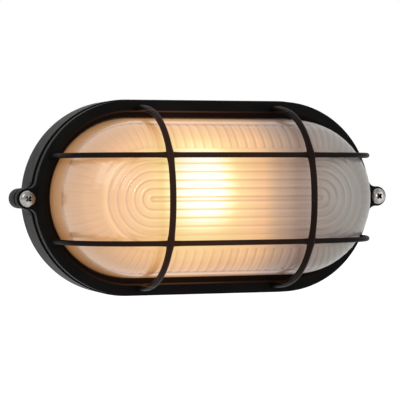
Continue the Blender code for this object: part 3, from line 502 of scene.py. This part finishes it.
soft_lamp("key", (-1.1, -1.0, 0.9), (0, 0, 0), 1.0, 7)
soft_lamp("fill", (1.2, -1.2, 0.3), (0, 0, 0), 1.0, 5)
# a small bare lamp in front gives the polished glass its sparkle
soft_lamp("sparkle", (0.140, -1.260, 0.075), (-0.054, -0.080, 0.0045), 0.045, 0.9)
print("two soft lamps and a small one")

# %% [markdown]
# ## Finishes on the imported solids
# The record names a material slot for every node. Each slot gets the finish made above.

# %% Put the finishes on the nodes
BY_SLOT = {
    "black_coat": black_coat, "rubber": rubber, "frosted_glass": frosted_glass,
    "stainless": stainless, "zinc": zinc, "opal_lamp": opal_lamp, "porcelain": porcelain,
    "brass": brass, "brown_sleeve": brown_sleeve, "blue_sleeve": blue_sleeve}
slot_of = {part["node"]: part["material_slot"] for part in frame["record"]["subparts"]}
for name, node in nodes.items():
    chosen = BY_SLOT[slot_of[name]]
    node.data.materials.clear()
    node.data.materials.append(chosen)
print({name: slot_of[name] for name in sorted(nodes)})

# %% [markdown]
# ## A sweep round the stadium
# Every ring of the light is one profile carried round the same outline, the way a lathe tool
# would run if it could follow an oval. The profile stands at the top of the right-hand end; it
# is spun over that end, drawn along the lower run, spun over the left-hand end and drawn back.

# %% Helpers for shapes
def sweep_stadium(bm, profile, arc_steps, run_steps, closed=False, spine=SPINE):
    """Carries (radius, depth) pairs once round the stadium."""
    row = [bm.verts.new((spine, -depth, radius)) for radius, depth in profile]
    ends = row[1:] + row[:1] if closed else row[1:]
    geom = row + [bm.edges.new(pair) for pair in zip(row, ends)]
    for side in (1, -1):
        turned = bmesh.ops.spin(bm, geom=geom, cent=(side * spine, 0, 0), axis=(0, 1, 0),
                                angle=pi, steps=arc_steps, use_duplicate=False)
        geom = turned["geom_last"]
        for _ in range(run_steps):
            edges = [g for g in geom if isinstance(g, bmesh.types.BMEdge)]
            drawn = bmesh.ops.extrude_edge_only(bm, edges=edges)["geom"]
            moved = {g for g in drawn if isinstance(g, bmesh.types.BMVert)}
            bmesh.ops.translate(bm, verts=list(moved), vec=(-side * 2 * spine / run_steps, 0, 0))
            geom = list(moved) + [g for g in drawn if isinstance(g, bmesh.types.BMEdge)
                                  and set(g.verts) <= moved]
    bmesh.ops.remove_doubles(bm, verts=bm.verts, dist=1e-6)
    bmesh.ops.recalc_face_normals(bm, faces=bm.faces)


def piece(name, bm, material, slot, *replaced, sharp=0.7):
    """Makes an object of a bmesh, smooth but for its sharp corners, in a node's place."""
    mesh = bpy.data.meshes.new(name)
    bm.to_mesh(mesh)
    bm.free()
    mesh.shade_smooth()
    mesh.set_sharp_from_angle(angle=sharp)
    mesh.materials.append(material)
    made = bpy.data.objects.new(name, mesh)
    bpy.context.scene.collection.objects.link(made)
    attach(made, "root")
    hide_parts(*replaced)
    triangles = sum(len(p.vertices) - 2 for p in mesh.polygons)
    print("made", name, "with", triangles, "triangles")


def arch(half_width, rise, fullness, start, end, count):
    """Points along a rounded arch, evenly spaced; angle 0 is at its foot."""
    dense, fine = [], 800
    for step in range(fine + 1):
        angle = start + (end - start) * step / fine
        across = abs(cos(angle)) ** (2 / fullness) * (1 if cos(angle) > 0 else -1)
        dense.append(Vector((half_width * across, rise * abs(sin(angle)) ** (2 / fullness))))
    walked = [0.0]
    for before, after in zip(dense, dense[1:]):
        walked.append(walked[-1] + (after - before).length)
    points, at = [], 0
    for step in range(count):
        wanted = walked[-1] * step / (count - 1)
        while at < len(walked) - 2 and walked[at + 1] < wanted:
            at += 1
        share = (wanted - walked[at]) / max(walked[at + 1] - walked[at], 1e-12)
        points.append(tuple(dense[at].lerp(dense[at + 1], min(share, 1.0))))
    return points


print("sweep ready")

# %% [markdown]
# ## The glass lens
# The lens is pressed in a mould: a smooth dome inside, and outside 5 mm flutes down its sides,
# each with a faint second line, and six concentric ribs on its front. A smooth dome is swept
# first, in rows fine enough to carry the pattern. Then every vertex is sunk along its own
# outward direction by how deep its rib or flute is there, and the light and shade painted on
# its groove is kept as the attribute painted_ripple. The flutes run out to almost nothing on
# the round ends. They begin above a plain foot, painted brighter than the flutes, with a thin
# dark line of painted shade along its top.

# %% Sizes of the lens
LENS_SPINE = SPINE + LENS_STRETCH
GLASS_WALL = 0.0032
FLANGE_RADIUS = 0.0496
BAND_TOP = 0.0030        # the smooth band next to the frame, above its face
BAND_STEP = 0.0003       # the fluted wall is sunk this far at its foot
FLUTES_ON_END = 27
FLUTES_ON_RUN = 18
FLUTE_STEPS = 9          # columns across each flute
FLUTE_DEPTH = 0.00045
FLUTES_LEFT = 0.35       # what is left of the flutes at the tips of the round ends
FOOT_ON_RUN = 0.0300     # how high above the frame the flutes begin, on the straight runs
FOOT_ON_END = 0.0190     # and at the tips of the round ends
FOOT_EDGE = 0.0012       # the flutes come up over this height
FOOT_ROWS = 0.017, 0.034   # rows lie close together only between these heights
FRONT_ROWS = 51
RIB_SPINE = 0.0468       # the ribs' own stadium is a little longer than the lens's
RIB_PITCH = 0.0044
RIB_COUNT = 6
RIB_START = 0.0024
RIB_DEPTH = 0.0005
# the grooves' dark and bright lines are painted shade and painted highlight, placed by these
# three sizes
RIB_FLANK = 0.0013       # the dark line lies this far outside a groove's middle
GLEAM_APART = 0.11       # a groove's bright and dark lines, as shares of the pitch
GLEAM_WIDTH = 0.12
rib_edge = RIB_START + (RIB_COUNT - 0.5) * RIB_PITCH
fine_edge = rib_edge + RIB_SPINE - LENS_SPINE


def dome(radius):
    """The height of the smooth dome at a distance from the spine."""
    share = min(radius / GLASS_RADIUS, 1.0)
    return GLASS_HEIGHT * (1.0 - share ** GLASS_FULLNESS) ** (1.0 / GLASS_FULLNESS)


def smooth(value, low, high):
    """0 below low, 1 above high and an easy curve between."""
    share = min(max((value - low) / (high - low), 0.0), 1.0)
    return share * share * (3 - 2 * share)


def flute_turn(x, z):
    """Flutes counted along the outline from the middle of the end."""
    beyond = max(abs(x) - LENS_SPINE, 0.0)
    on_run = (LENS_SPINE - min(abs(x), LENS_SPINE)) / (2 * LENS_SPINE) * FLUTES_ON_RUN
    on_end = atan2(beyond, abs(z)) / pi * FLUTES_ON_END if beyond > 0 else 0.0
    return on_run + on_end


def flute_wave(share):
    """1 on a flute's wide crest, low in its narrow valley, with a faint line on the crest."""
    turn = 2 * pi * share
    return 0.75 - 1.5 * (0.5 - 0.5 * cos(turn)) ** 2 + 0.25 * cos(2 * turn)


def rib_wave(radius):
    """1 on a rib and -1 in the narrow groove between two."""
    return 1.0 - 2.0 * (0.5 - 0.5 * cos(2 * pi * (radius - RIB_START) / RIB_PITCH)) ** 2


def gleam(share):
    """The painted look of a groove halfway through a share: a painted highlight on one flank,
    painted shade on the other.
    """
    off = share % 1.0 - 0.5
    return (exp(-((off + GLEAM_APART) / GLEAM_WIDTH) ** 2)
            - exp(-((off - GLEAM_APART) / GLEAM_WIDTH) ** 2))


def foot(x):
    """How high above the frame the flutes begin."""
    to_end = smooth(abs(x), LENS_SPINE - 0.010, LENS_SPINE + 0.040)
    return FOOT_ON_RUN + (FOOT_ON_END - FOOT_ON_RUN) * to_end


print("front ribs end", round(rib_edge * 1000, 2), "mm from the spine")

# %% Sweep the lens and press its pattern
side = [(r, h) for r, h in arch(GLASS_RADIUS, GLASS_HEIGHT, GLASS_FULLNESS, 0.0, pi / 2, 400)
        if h > BAND_TOP and r > fine_edge]
side = [(r, h) for k, (r, h) in enumerate(side)
        if k % (4 if FOOT_ROWS[0] < h < FOOT_ROWS[1] else 22) == 0] + side[-1:]
front = [fine_edge * (1 - k / FRONT_ROWS) for k in range(1, FRONT_ROWS + 1)]
inner = arch(GLASS_RADIUS - GLASS_WALL, FACE - FLANGE_BACK + GLASS_HEIGHT - GLASS_WALL,
             GLASS_FULLNESS, 0.0, pi / 2, 14)
profile = [(0.0, FLANGE_BACK + inner[-1][1])]
profile += [(r, FLANGE_BACK + h) for r, h in reversed(inner[:-1])]
profile += [(FLANGE_RADIUS, FLANGE_BACK), (FLANGE_RADIUS, FLANGE_FRONT),
            (GLASS_RADIUS + 0.0005, FLANGE_FRONT), (GLASS_RADIUS + 0.0001, FLANGE_FRONT + 0.0002),
            (GLASS_RADIUS, FLANGE_FRONT + 0.0005), (GLASS_RADIUS, FACE),
            (GLASS_RADIUS - 0.0001, FACE + BAND_TOP * 0.5),
            (GLASS_RADIUS - 0.0002, FACE + BAND_TOP * 0.85)]
profile += [(r, FACE + h) for r, h in side] + [(r, FACE + dome(r)) for r in front]

bm = bmesh.new()
sweep_stadium(bm, profile, FLUTES_ON_END * FLUTE_STEPS, FLUTES_ON_RUN * FLUTE_STEPS,
              spine=LENS_SPINE)
painted_ripple_layer = bm.verts.layers.float.new("painted_ripple")
for vert in bm.verts:
    x, z, height = vert.co.x, vert.co.z, -vert.co.y - FACE
    centre = Vector((min(max(x, -LENS_SPINE), LENS_SPINE), vert.co.y, 0.0))
    outward = vert.co - centre
    radius = outward.length
    if height < BAND_TOP * 0.95 or height < dome(radius) - GLASS_WALL * 0.45:
        continue
    rib_radius = sqrt(max(abs(x) - RIB_SPINE, 0.0) ** 2 + z * z)
    on_side = smooth(rib_radius, rib_edge - 0.0003, rib_edge + 0.0008)
    above = height - foot(x)
    flutes = on_side * smooth(above, 0.0, FOOT_EDGE)
    flutes *= 1.0 - (1.0 - FLUTES_LEFT) * smooth(abs(x), LENS_SPINE - 0.002, LENS_SPINE + 0.022)
    share = flute_turn(x, z)
    wave = flute_wave(share)
    if radius > 1e-6:
        step = BAND_STEP * on_side * (1.0 - smooth(height, BAND_TOP, GLASS_HEIGHT * 0.8))
        sunk = step + FLUTE_DEPTH * flutes * (0.5 - 0.45 * wave)
        vert.co -= outward.normalized() * sunk
    vert.co.y += RIB_DEPTH * (1 - on_side) * (0.5 - 0.5 * rib_wave(rib_radius))

    # how it is painted: flutes calmer on the left, ribs, a painted highlight ring on the left,
    # and the foot, painted brighter than the flutes and ending in a dark line of painted shade
    calm = 0.55 + 0.45 * smooth(x, -0.010, 0.010)
    lines = (1.1 * gleam(share) + 0.25 * wave) * flutes * calm
    flank = rib_radius - RIB_FLANK
    ribs = 0.35 * rib_wave(flank) - 0.85 * gleam((flank - RIB_START) / RIB_PITCH)
    ring_highlight = exp(-((rib_radius - rib_edge + 0.0022) / 0.0013) ** 2)
    ring_highlight *= 0.6 * smooth(-x, RIB_SPINE - 0.006, RIB_SPINE + 0.004)
    foot_shade_line = 1.5 * exp(-((above - 0.0002) / FOOT_EDGE) ** 2) * on_side
    foot_highlight = 0.5 * smooth(-above, 0.0, 0.002)
    vert[painted_ripple_layer] = lines + ribs * (1 - on_side) + ring_highlight + foot_highlight - foot_shade_line
piece("lens", bm, frosted_glass, "frosted_glass", "glass_lens", sharp=1.2)

# %% [markdown]
# ## Shapes that join
# The guard is one casting, so its ring, ears and bars are made one by one and then united. The
# exact Boolean modifier does that, on objects that are gone once their shape has been taken.

# %% Helpers for joining, rods and ears
def as_object(name, bm):
    """A working object with this shape."""
    mesh = bpy.data.meshes.new(name)
    bmesh.ops.recalc_face_normals(bm, faces=bm.faces)
    bm.to_mesh(mesh)
    bm.free()
    made = bpy.data.objects.new(name, mesh)
    bpy.context.scene.collection.objects.link(made)
    return made


def carve(body, *steps):
    """Unites shapes with a body, or cuts them out, and returns the result as a bmesh."""
    body = as_object("body", body)
    others = []
    for operation, shape in steps:
        others.append(as_object("operand", shape))
        step = body.modifiers.new(operation, "BOOLEAN")
        step.operation, step.solver, step.object = operation, "EXACT", others[-1]
    bpy.context.view_layer.update()
    solved = body.evaluated_get(bpy.context.evaluated_depsgraph_get()).to_mesh()
    bm = bmesh.new()
    bm.from_mesh(solved)
    for used in [body] + others:
        mesh = used.data
        bpy.data.objects.remove(used, do_unlink=True)
        bpy.data.meshes.remove(mesh)
    bmesh.ops.remove_doubles(bm, verts=bm.verts, dist=1e-7)
    bmesh.ops.dissolve_degenerate(bm, edges=bm.edges, dist=1e-7)
    return bm


def rod(path, radii, flat, sides=18):
    """A round rod along points in one plane; flat is the plane's own direction."""
    bm = bmesh.new()
    frames = []
    for index, (point, radius) in enumerate(zip(path, radii)):
        ahead = path[min(index + 1, len(path) - 1)] - path[max(index - 1, 0)]
        ahead.normalize()
        across = ahead.cross(flat)
        turn = Matrix((flat, across, ahead)).transposed().to_4x4()
        frames.append(Matrix.Translation(point) @ turn @ Matrix.Diagonal((radius, radius, 1, 1)))
    ring = bmesh.ops.create_circle(bm, cap_ends=False, segments=sides, radius=1.0,
                                   matrix=frames[0])["verts"]
    edges = bm.edges[:]
    for before, after in zip(frames, frames[1:]):
        drawn = bmesh.ops.extrude_edge_only(bm, edges=edges)["geom"]
        ring = [g for g in drawn if isinstance(g, bmesh.types.BMVert)]
        bmesh.ops.transform(bm, matrix=after @ before.inverted(), verts=ring)
        edges = [g for g in drawn if isinstance(g, bmesh.types.BMEdge)
                 and all(v in ring for v in g.verts)]
    bmesh.ops.holes_fill(bm, edges=[e for e in bm.edges if e.is_boundary])
    return bm


def tongue(side, back, front, outline_radius, root_depth, tip_radius, fillet, edge):
    """An ear or boss that flows out of a round end, with a fillet at each side of its root."""
    reach = SCREW_X - SPINE
    far, near = outline_radius + fillet, tip_radius + fillet
    along = (far ** 2 - near ** 2 + reach ** 2) / (2 * reach)
    up = sqrt(far ** 2 - along ** 2)
    turn_on_frame, turn_on_tip = atan2(up, along), atan2(up, along - reach)
    bm = bmesh.new()
    at = bm.verts.new((SCREW_X + tip_radius, -back, 0.0))
    centres = ((SCREW_X, 0.0, turn_on_tip, 14),
               (SPINE + along, up, turn_on_frame - turn_on_tip, 10))
    for x, z, turn, steps in centres:
        spun = bmesh.ops.spin(bm, geom=[at], cent=(x, -back, z), axis=(0, -1, 0), angle=turn,
                              steps=steps)
        at = [g for g in spun["geom_last"] if isinstance(g, bmesh.types.BMVert)][0]
    inner = outline_radius - root_depth
    root = bm.verts.new((SPINE + inner * cos(turn_on_frame), -back, inner * sin(turn_on_frame)))
    bm.edges.new((at, root))
    bmesh.ops.spin(bm, geom=[root], cent=(SPINE, -back, 0), axis=(0, -1, 0),
                   angle=-turn_on_frame, steps=8)
    bmesh.ops.mirror(bm, geom=bm.verts[:] + bm.edges[:], axis="Z", merge_dist=1e-6)
    bmesh.ops.remove_doubles(bm, verts=bm.verts, dist=1e-6)
    face = bmesh.ops.contextual_create(bm, geom=bm.edges[:])["faces"]
    drawn = bmesh.ops.extrude_face_region(bm, geom=face, use_keep_orig=True)["geom"]
    top = [g for g in drawn if isinstance(g, bmesh.types.BMVert)]
    bmesh.ops.translate(bm, verts=top, vec=(0, back - front, 0))
    bmesh.ops.recalc_face_normals(bm, faces=bm.faces)
    rims = [e for e in bm.edges if all(v in top for v in e.verts)]
    bmesh.ops.bevel(bm, geom=rims, offset=edge, offset_type="OFFSET", segments=3, profile=0.5,
                    affect="EDGES", material=-1, clamp_overlap=True)
    if side < 0:
        bmesh.ops.rotate(bm, verts=bm.verts, cent=(0, 0, 0), matrix=Matrix.Rotation(pi, 3, "Y"))
    return bm


def drill(radius, back, front, x, z, sides=32):
    """A round cutter along Y between two depths."""
    bm = bmesh.new()
    bmesh.ops.create_cone(bm, cap_ends=True, segments=sides, radius1=radius, radius2=radius,
                          depth=front - back,
                          matrix=Matrix.Translation((x, -(front + back) / 2, z))
                          @ Matrix.Rotation(pi / 2, 4, "X"))
    return bm


print("joining ready")

# %% [markdown]
# ## The guard
# On the real light the guard is die-cast: a frame with a flat front and a chamfer down to the
# glass, an ear for a screw at each end, two upright bars and two long bars over them. Cast bars
# thicken where they cross and where they run into the frame, so each rod here carries a radius
# of its own for every point of its path. The frame is a profile swept round the stadium, with
# rounded corners and a narrow extra row beside each, so that the flat faces stay flat to the eye.

# %% Sizes of the guard
OPENING_RADIUS = 0.0442
CHAMFER_WIDTH = 0.0032
CHAMFER_DEPTH = 0.0017
SKIRT_WALL = 0.0024
UPRIGHT_X = 0.0392
UPRIGHT_RADIUS = 0.00170
UPRIGHT_CLEARANCE = 0.01015
UPRIGHT_FULLNESS = 2.3
RAIL_Z = 0.0230
RAIL_RADIUS = 0.00142
RAIL_CLEARANCE = 0.0055
RAIL_FULLNESS = 3.0
BAR_FOOT = FRAME_RADIUS - 0.0045
EAR_RADIUS = 0.0056
EAR_FILLET = 0.0045
BAR_SINK = 0.0016        # the bars end this far under the frame's face
FOOT_SWELL, CROSS_SWELL = 0.45, 0.22   # how much thicker a bar is at its foot and crossings
CROSS_REACH = 0.0032     # how far the swelling of a crossing reaches
SCREW_SHANK = 0.0022
print("bars stand", round(UPRIGHT_CLEARANCE * 1000, 1), "and",
      round(RAIL_CLEARANCE * 1000, 1), "mm off the glass")


# %% Frame, ears and bars in one casting
def rounded(before, corner, after, radius, steps=3, support=0.00012):
    """The corner of a profile as a short arc, with a row just beside each of its ends."""
    corner = Vector(corner)
    back, ahead = (Vector(before) - corner).normalized(), (Vector(after) - corner).normalized()
    half = back.angle(ahead) / 2
    reach = radius / tan(half)
    centre = corner + (back + ahead).normalized() * radius / sin(half)
    start = (corner + back * reach - centre).normalized()
    end = (corner + ahead * reach - centre).normalized()
    arc = [centre + start.slerp(end, k / steps) * radius for k in range(steps + 1)]
    return [tuple(corner + back * (reach + support))] + [tuple(p) for p in arc] \
        + [tuple(corner + ahead * (reach + support))]


def softened(corners):
    """A closed profile of (radius, depth, rounding) corners, rounded where it says so."""
    points = []
    for index, (radius, depth, rounding) in enumerate(corners):
        before, after = corners[index - 1], corners[(index + 1) % len(corners)]
        if rounding > 0:
            points += rounded(before[:2], (radius, depth), after[:2], rounding)
        else:
            points.append((radius, depth))
    return points


def bar(half_span, rise, fullness, radius, crossing, place):
    """One arched bar, from inside the frame's face over the glass and back."""
    walk = arch(half_span, rise, fullness, 0.0, pi, 97)
    walk = [(half_span, -BAR_SINK)] + [p for p in walk if p[1] > radius * 0.4] \
        + [(-half_span, -BAR_SINK)]
    radii = []
    for across, height in walk:
        swell = FOOT_SWELL * exp(-max(height, 0.0) / (2 * radius))
        if height > rise / 2:
            swell += CROSS_SWELL * exp(-((abs(across) - crossing) / CROSS_REACH) ** 2)
        radii.append(radius * (1 + swell))
    path = [place(across, FACE + height) for across, height in walk]
    return rod(path, radii, (path[0] - path[-1]).normalized().cross(Vector((0, 1, 0))))


bm = bmesh.new()
sweep_stadium(bm, softened([
    (FRAME_RADIUS, FLANGE_BACK, 0.0002), (FRAME_RADIUS, FACE, 0.0006),
    (OPENING_RADIUS + CHAMFER_WIDTH, FACE, 0.0003),
    (OPENING_RADIUS, FACE - CHAMFER_DEPTH, 0.0003), (OPENING_RADIUS, LIP_BACK, 0),
    (FRAME_RADIUS - SKIRT_WALL, LIP_BACK, 0), (FRAME_RADIUS - SKIRT_WALL, FLANGE_BACK, 0)]),
    END_STEPS, 1, closed=True)
inside = (OPENING_RADIUS + CHAMFER_WIDTH + FRAME_RADIUS - SKIRT_WALL) / 2
for vert in bm.verts:
    beyond = max(abs(vert.co.x) - SPINE, 0.0)
    if sqrt(beyond ** 2 + vert.co.z ** 2) < inside:
        vert.co.x += LENS_STRETCH * (1 if vert.co.x > 0 else -1)
steps = []
for side in (1, -1):
    steps.append(("UNION", tongue(side, FLANGE_BACK + 0.0004, SCREW_SEAT - FIT, FRAME_RADIUS,
                                  SKIRT_WALL / 2, EAR_RADIUS, EAR_FILLET, 0.0005)))
for side in (1, -1):
    steps.append(("UNION", bar(BAR_FOOT, GLASS_HEIGHT + UPRIGHT_CLEARANCE, UPRIGHT_FULLNESS,
                               UPRIGHT_RADIUS, RAIL_Z,
                               lambda across, depth: Vector((side * UPRIGHT_X, -depth, across)))))
    steps.append(("UNION", bar(SPINE + sqrt(BAR_FOOT ** 2 - RAIL_Z ** 2),
                               GLASS_HEIGHT + RAIL_CLEARANCE, RAIL_FULLNESS, RAIL_RADIUS,
                               UPRIGHT_X,
                               lambda across, depth: Vector((across, -depth, side * RAIL_Z)))))
for side in (1, -1):
    steps.append(("DIFFERENCE", drill(SCREW_SHANK + FIT, FLANGE_BACK - FIT, SCREW_SEAT + FIT,
                                      side * SCREW_X, 0.0)))
piece("guard", carve(bm, *steps), guard_coat_painted_spill, "black_coat", "guard_frame", sharp=0.6)

# %% [markdown]
# ## Base and seal
# The base is a deep cast tub. Its side leaves the mould square and is only broken at the wall,
# and a boss for each cover screw grows out of its ends. In its back are two slots for the wall
# screws and the cable entry. The seal is a flat ring of rubber, set back a little between the
# castings, so it reads as a dark line. Squeezed as it is, it fills the space between them, and
# no light of the lamp gets past it.

# %% Tub, bosses and back
BASE_RADIUS = FRAME_RADIUS + 0.0007
BASE_DEPTH = 0.0240
BASE_WALL = 0.0030
BASE_FLOOR = 0.0026
SLOT_X, SLOT_Z = 0.0600, 0.0280
SLOT_WIDTH, SLOT_LENGTH = 0.0055, 0.0105
BOSS_BACK, BOSS_RADIUS = 0.0110, 0.0055
ENTRY_X, ENTRY_RADIUS = -0.0380, 0.0080   # the cable entry

bm = bmesh.new()
tub = [(0.0, 0.0)] + rounded((0, 0), (BASE_RADIUS, 0.0), (BASE_RADIUS, BASE_DEPTH), 0.0008)
tub += rounded((BASE_RADIUS, 0), (BASE_RADIUS, BASE_DEPTH), (BASE_RADIUS - 0.01, BASE_DEPTH),
               0.0003)
tub += [(BASE_RADIUS - BASE_WALL, BASE_DEPTH), (BASE_RADIUS - BASE_WALL, BASE_FLOOR + 0.0016),
        (BASE_RADIUS - BASE_WALL - 0.0016, BASE_FLOOR), (0.0, BASE_FLOOR)]
sweep_stadium(bm, tub, END_STEPS, 1)
steps = [("UNION", tongue(side, BOSS_BACK, BASE_DEPTH - 0.0002, BASE_RADIUS, BASE_WALL / 2,
                          BOSS_RADIUS, EAR_FILLET, 0.0004)) for side in (1, -1)]
for side in (1, -1):
    for end in (1, -1):
        steps.append(("DIFFERENCE", drill(SLOT_WIDTH / 2, -BASE_FLOOR, 2 * BASE_FLOOR,
                                          side * SLOT_X + end * (SLOT_LENGTH - SLOT_WIDTH) / 2,
                                          -side * SLOT_Z)))
    block = bmesh.new()
    bmesh.ops.create_cube(block, size=1.0, matrix=Matrix.Translation(
        (side * SLOT_X, -BASE_FLOOR / 2, -side * SLOT_Z))
        @ Matrix.Diagonal((SLOT_LENGTH - SLOT_WIDTH, 3 * BASE_FLOOR, SLOT_WIDTH, 1)))
    steps.append(("DIFFERENCE", block))
    steps.append(("DIFFERENCE", drill(SCREW_SHANK + FIT, BOSS_BACK - FIT, BASE_DEPTH + FIT,
                                      side * SCREW_X, 0.0)))
steps.append(("DIFFERENCE", drill(ENTRY_RADIUS + FIT, -BASE_FLOOR, 2 * BASE_FLOOR,
                                  ENTRY_X, 0.0, 48)))
piece("base", carve(bm, *steps), black_coat, "black_coat", "base_housing", sharp=0.6)

# %% Seal
SEAL_BACK, SEAL_FRONT = BASE_DEPTH + 0.00002, FLANGE_BACK - 0.00002   # a hair of clearance
seal_outer, seal_inner = FRAME_RADIUS - 0.0005, FRAME_RADIUS - 0.0079
bm = bmesh.new()
sweep_stadium(bm, softened([(seal_outer, SEAL_FRONT, 0.0003), (seal_outer, SEAL_BACK, 0.0003),
                            (seal_inner, SEAL_BACK, 0), (seal_inner, SEAL_FRONT, 0)]),
              END_STEPS, 1, closed=True)
piece("seal", bm, rubber, "rubber", "body_gasket", sharp=0.6)

# %% [markdown]
# ## Cover screws
# Two stainless pan heads hold the cover. A head is turned: half its outline is drawn from the
# middle outwards and spun a full turn. The cross recess is then cut by two narrow blades that
# taper towards their tips, the way a punch leaves it.

# %% Turned heads with a cross recess
HEAD_RADIUS = 0.0045
SCREW_LENGTH = 0.0195
RECESS_SPAN, RECESS_WIDTH, RECESS_DEPTH = 0.0050, 0.00165, 0.0019


def blade(x, top, turn):
    """One arm of the recess: a bar that narrows with depth, centred on the screw's axis."""
    bm = bmesh.new()
    bmesh.ops.create_cube(bm, size=1.0)
    low = [v for v in bm.verts if v.co.y > 0]
    bmesh.ops.scale(bm, verts=low, vec=(0.42, 1, 0.62))
    bmesh.ops.scale(bm, verts=bm.verts, vec=(RECESS_SPAN, 2 * RECESS_DEPTH, RECESS_WIDTH))
    bmesh.ops.rotate(bm, verts=bm.verts, cent=(0, 0, 0), matrix=Matrix.Rotation(turn, 3, "Y"))
    bmesh.ops.translate(bm, verts=bm.verts, vec=(x, -top, 0))
    return bm


def cover_screw(name, node, x, turn):
    """A pan head screw whose recess is turned by an angle, in place of a node."""
    bm = bmesh.new()
    top = SCREW_SEAT + HEAD_HEIGHT
    crown = arch(HEAD_RADIUS, HEAD_HEIGHT * 0.97, 2.7, 0.0, pi / 2, 16)
    outline = [(r, SCREW_SEAT + 0.0001 + h) for r, h in reversed(crown)]
    outline[0] = (0.0, top)
    outline += [(HEAD_RADIUS - 0.0001, SCREW_SEAT), (SCREW_SHANK, SCREW_SEAT),
                (SCREW_SHANK, SCREW_SEAT - SCREW_LENGTH + 0.0009),
                (SCREW_SHANK * 0.6, SCREW_SEAT - SCREW_LENGTH),
                (0.0, SCREW_SEAT - SCREW_LENGTH)]
    row = [bm.verts.new((x + r, -depth, 0)) for r, depth in outline]
    line = [bm.edges.new(pair) for pair in zip(row, row[1:])]
    bmesh.ops.spin(bm, geom=row + line, cent=(x, 0, 0), axis=(0, 1, 0), angle=2 * pi, steps=48,
                   use_merge=True)
    bmesh.ops.remove_doubles(bm, verts=bm.verts, dist=1e-7)
    cuts = [("DIFFERENCE", blade(x, top, turn + quarter)) for quarter in (0.0, pi / 2)]
    piece(name, carve(bm, *cuts), stainless, "stainless", node, sharp=0.6)


cover_screw("screw_right", "cover_screw_right", SCREW_X, pi / 4)
cover_screw("screw_left", "cover_screw_left", -SCREW_X, pi / 4)
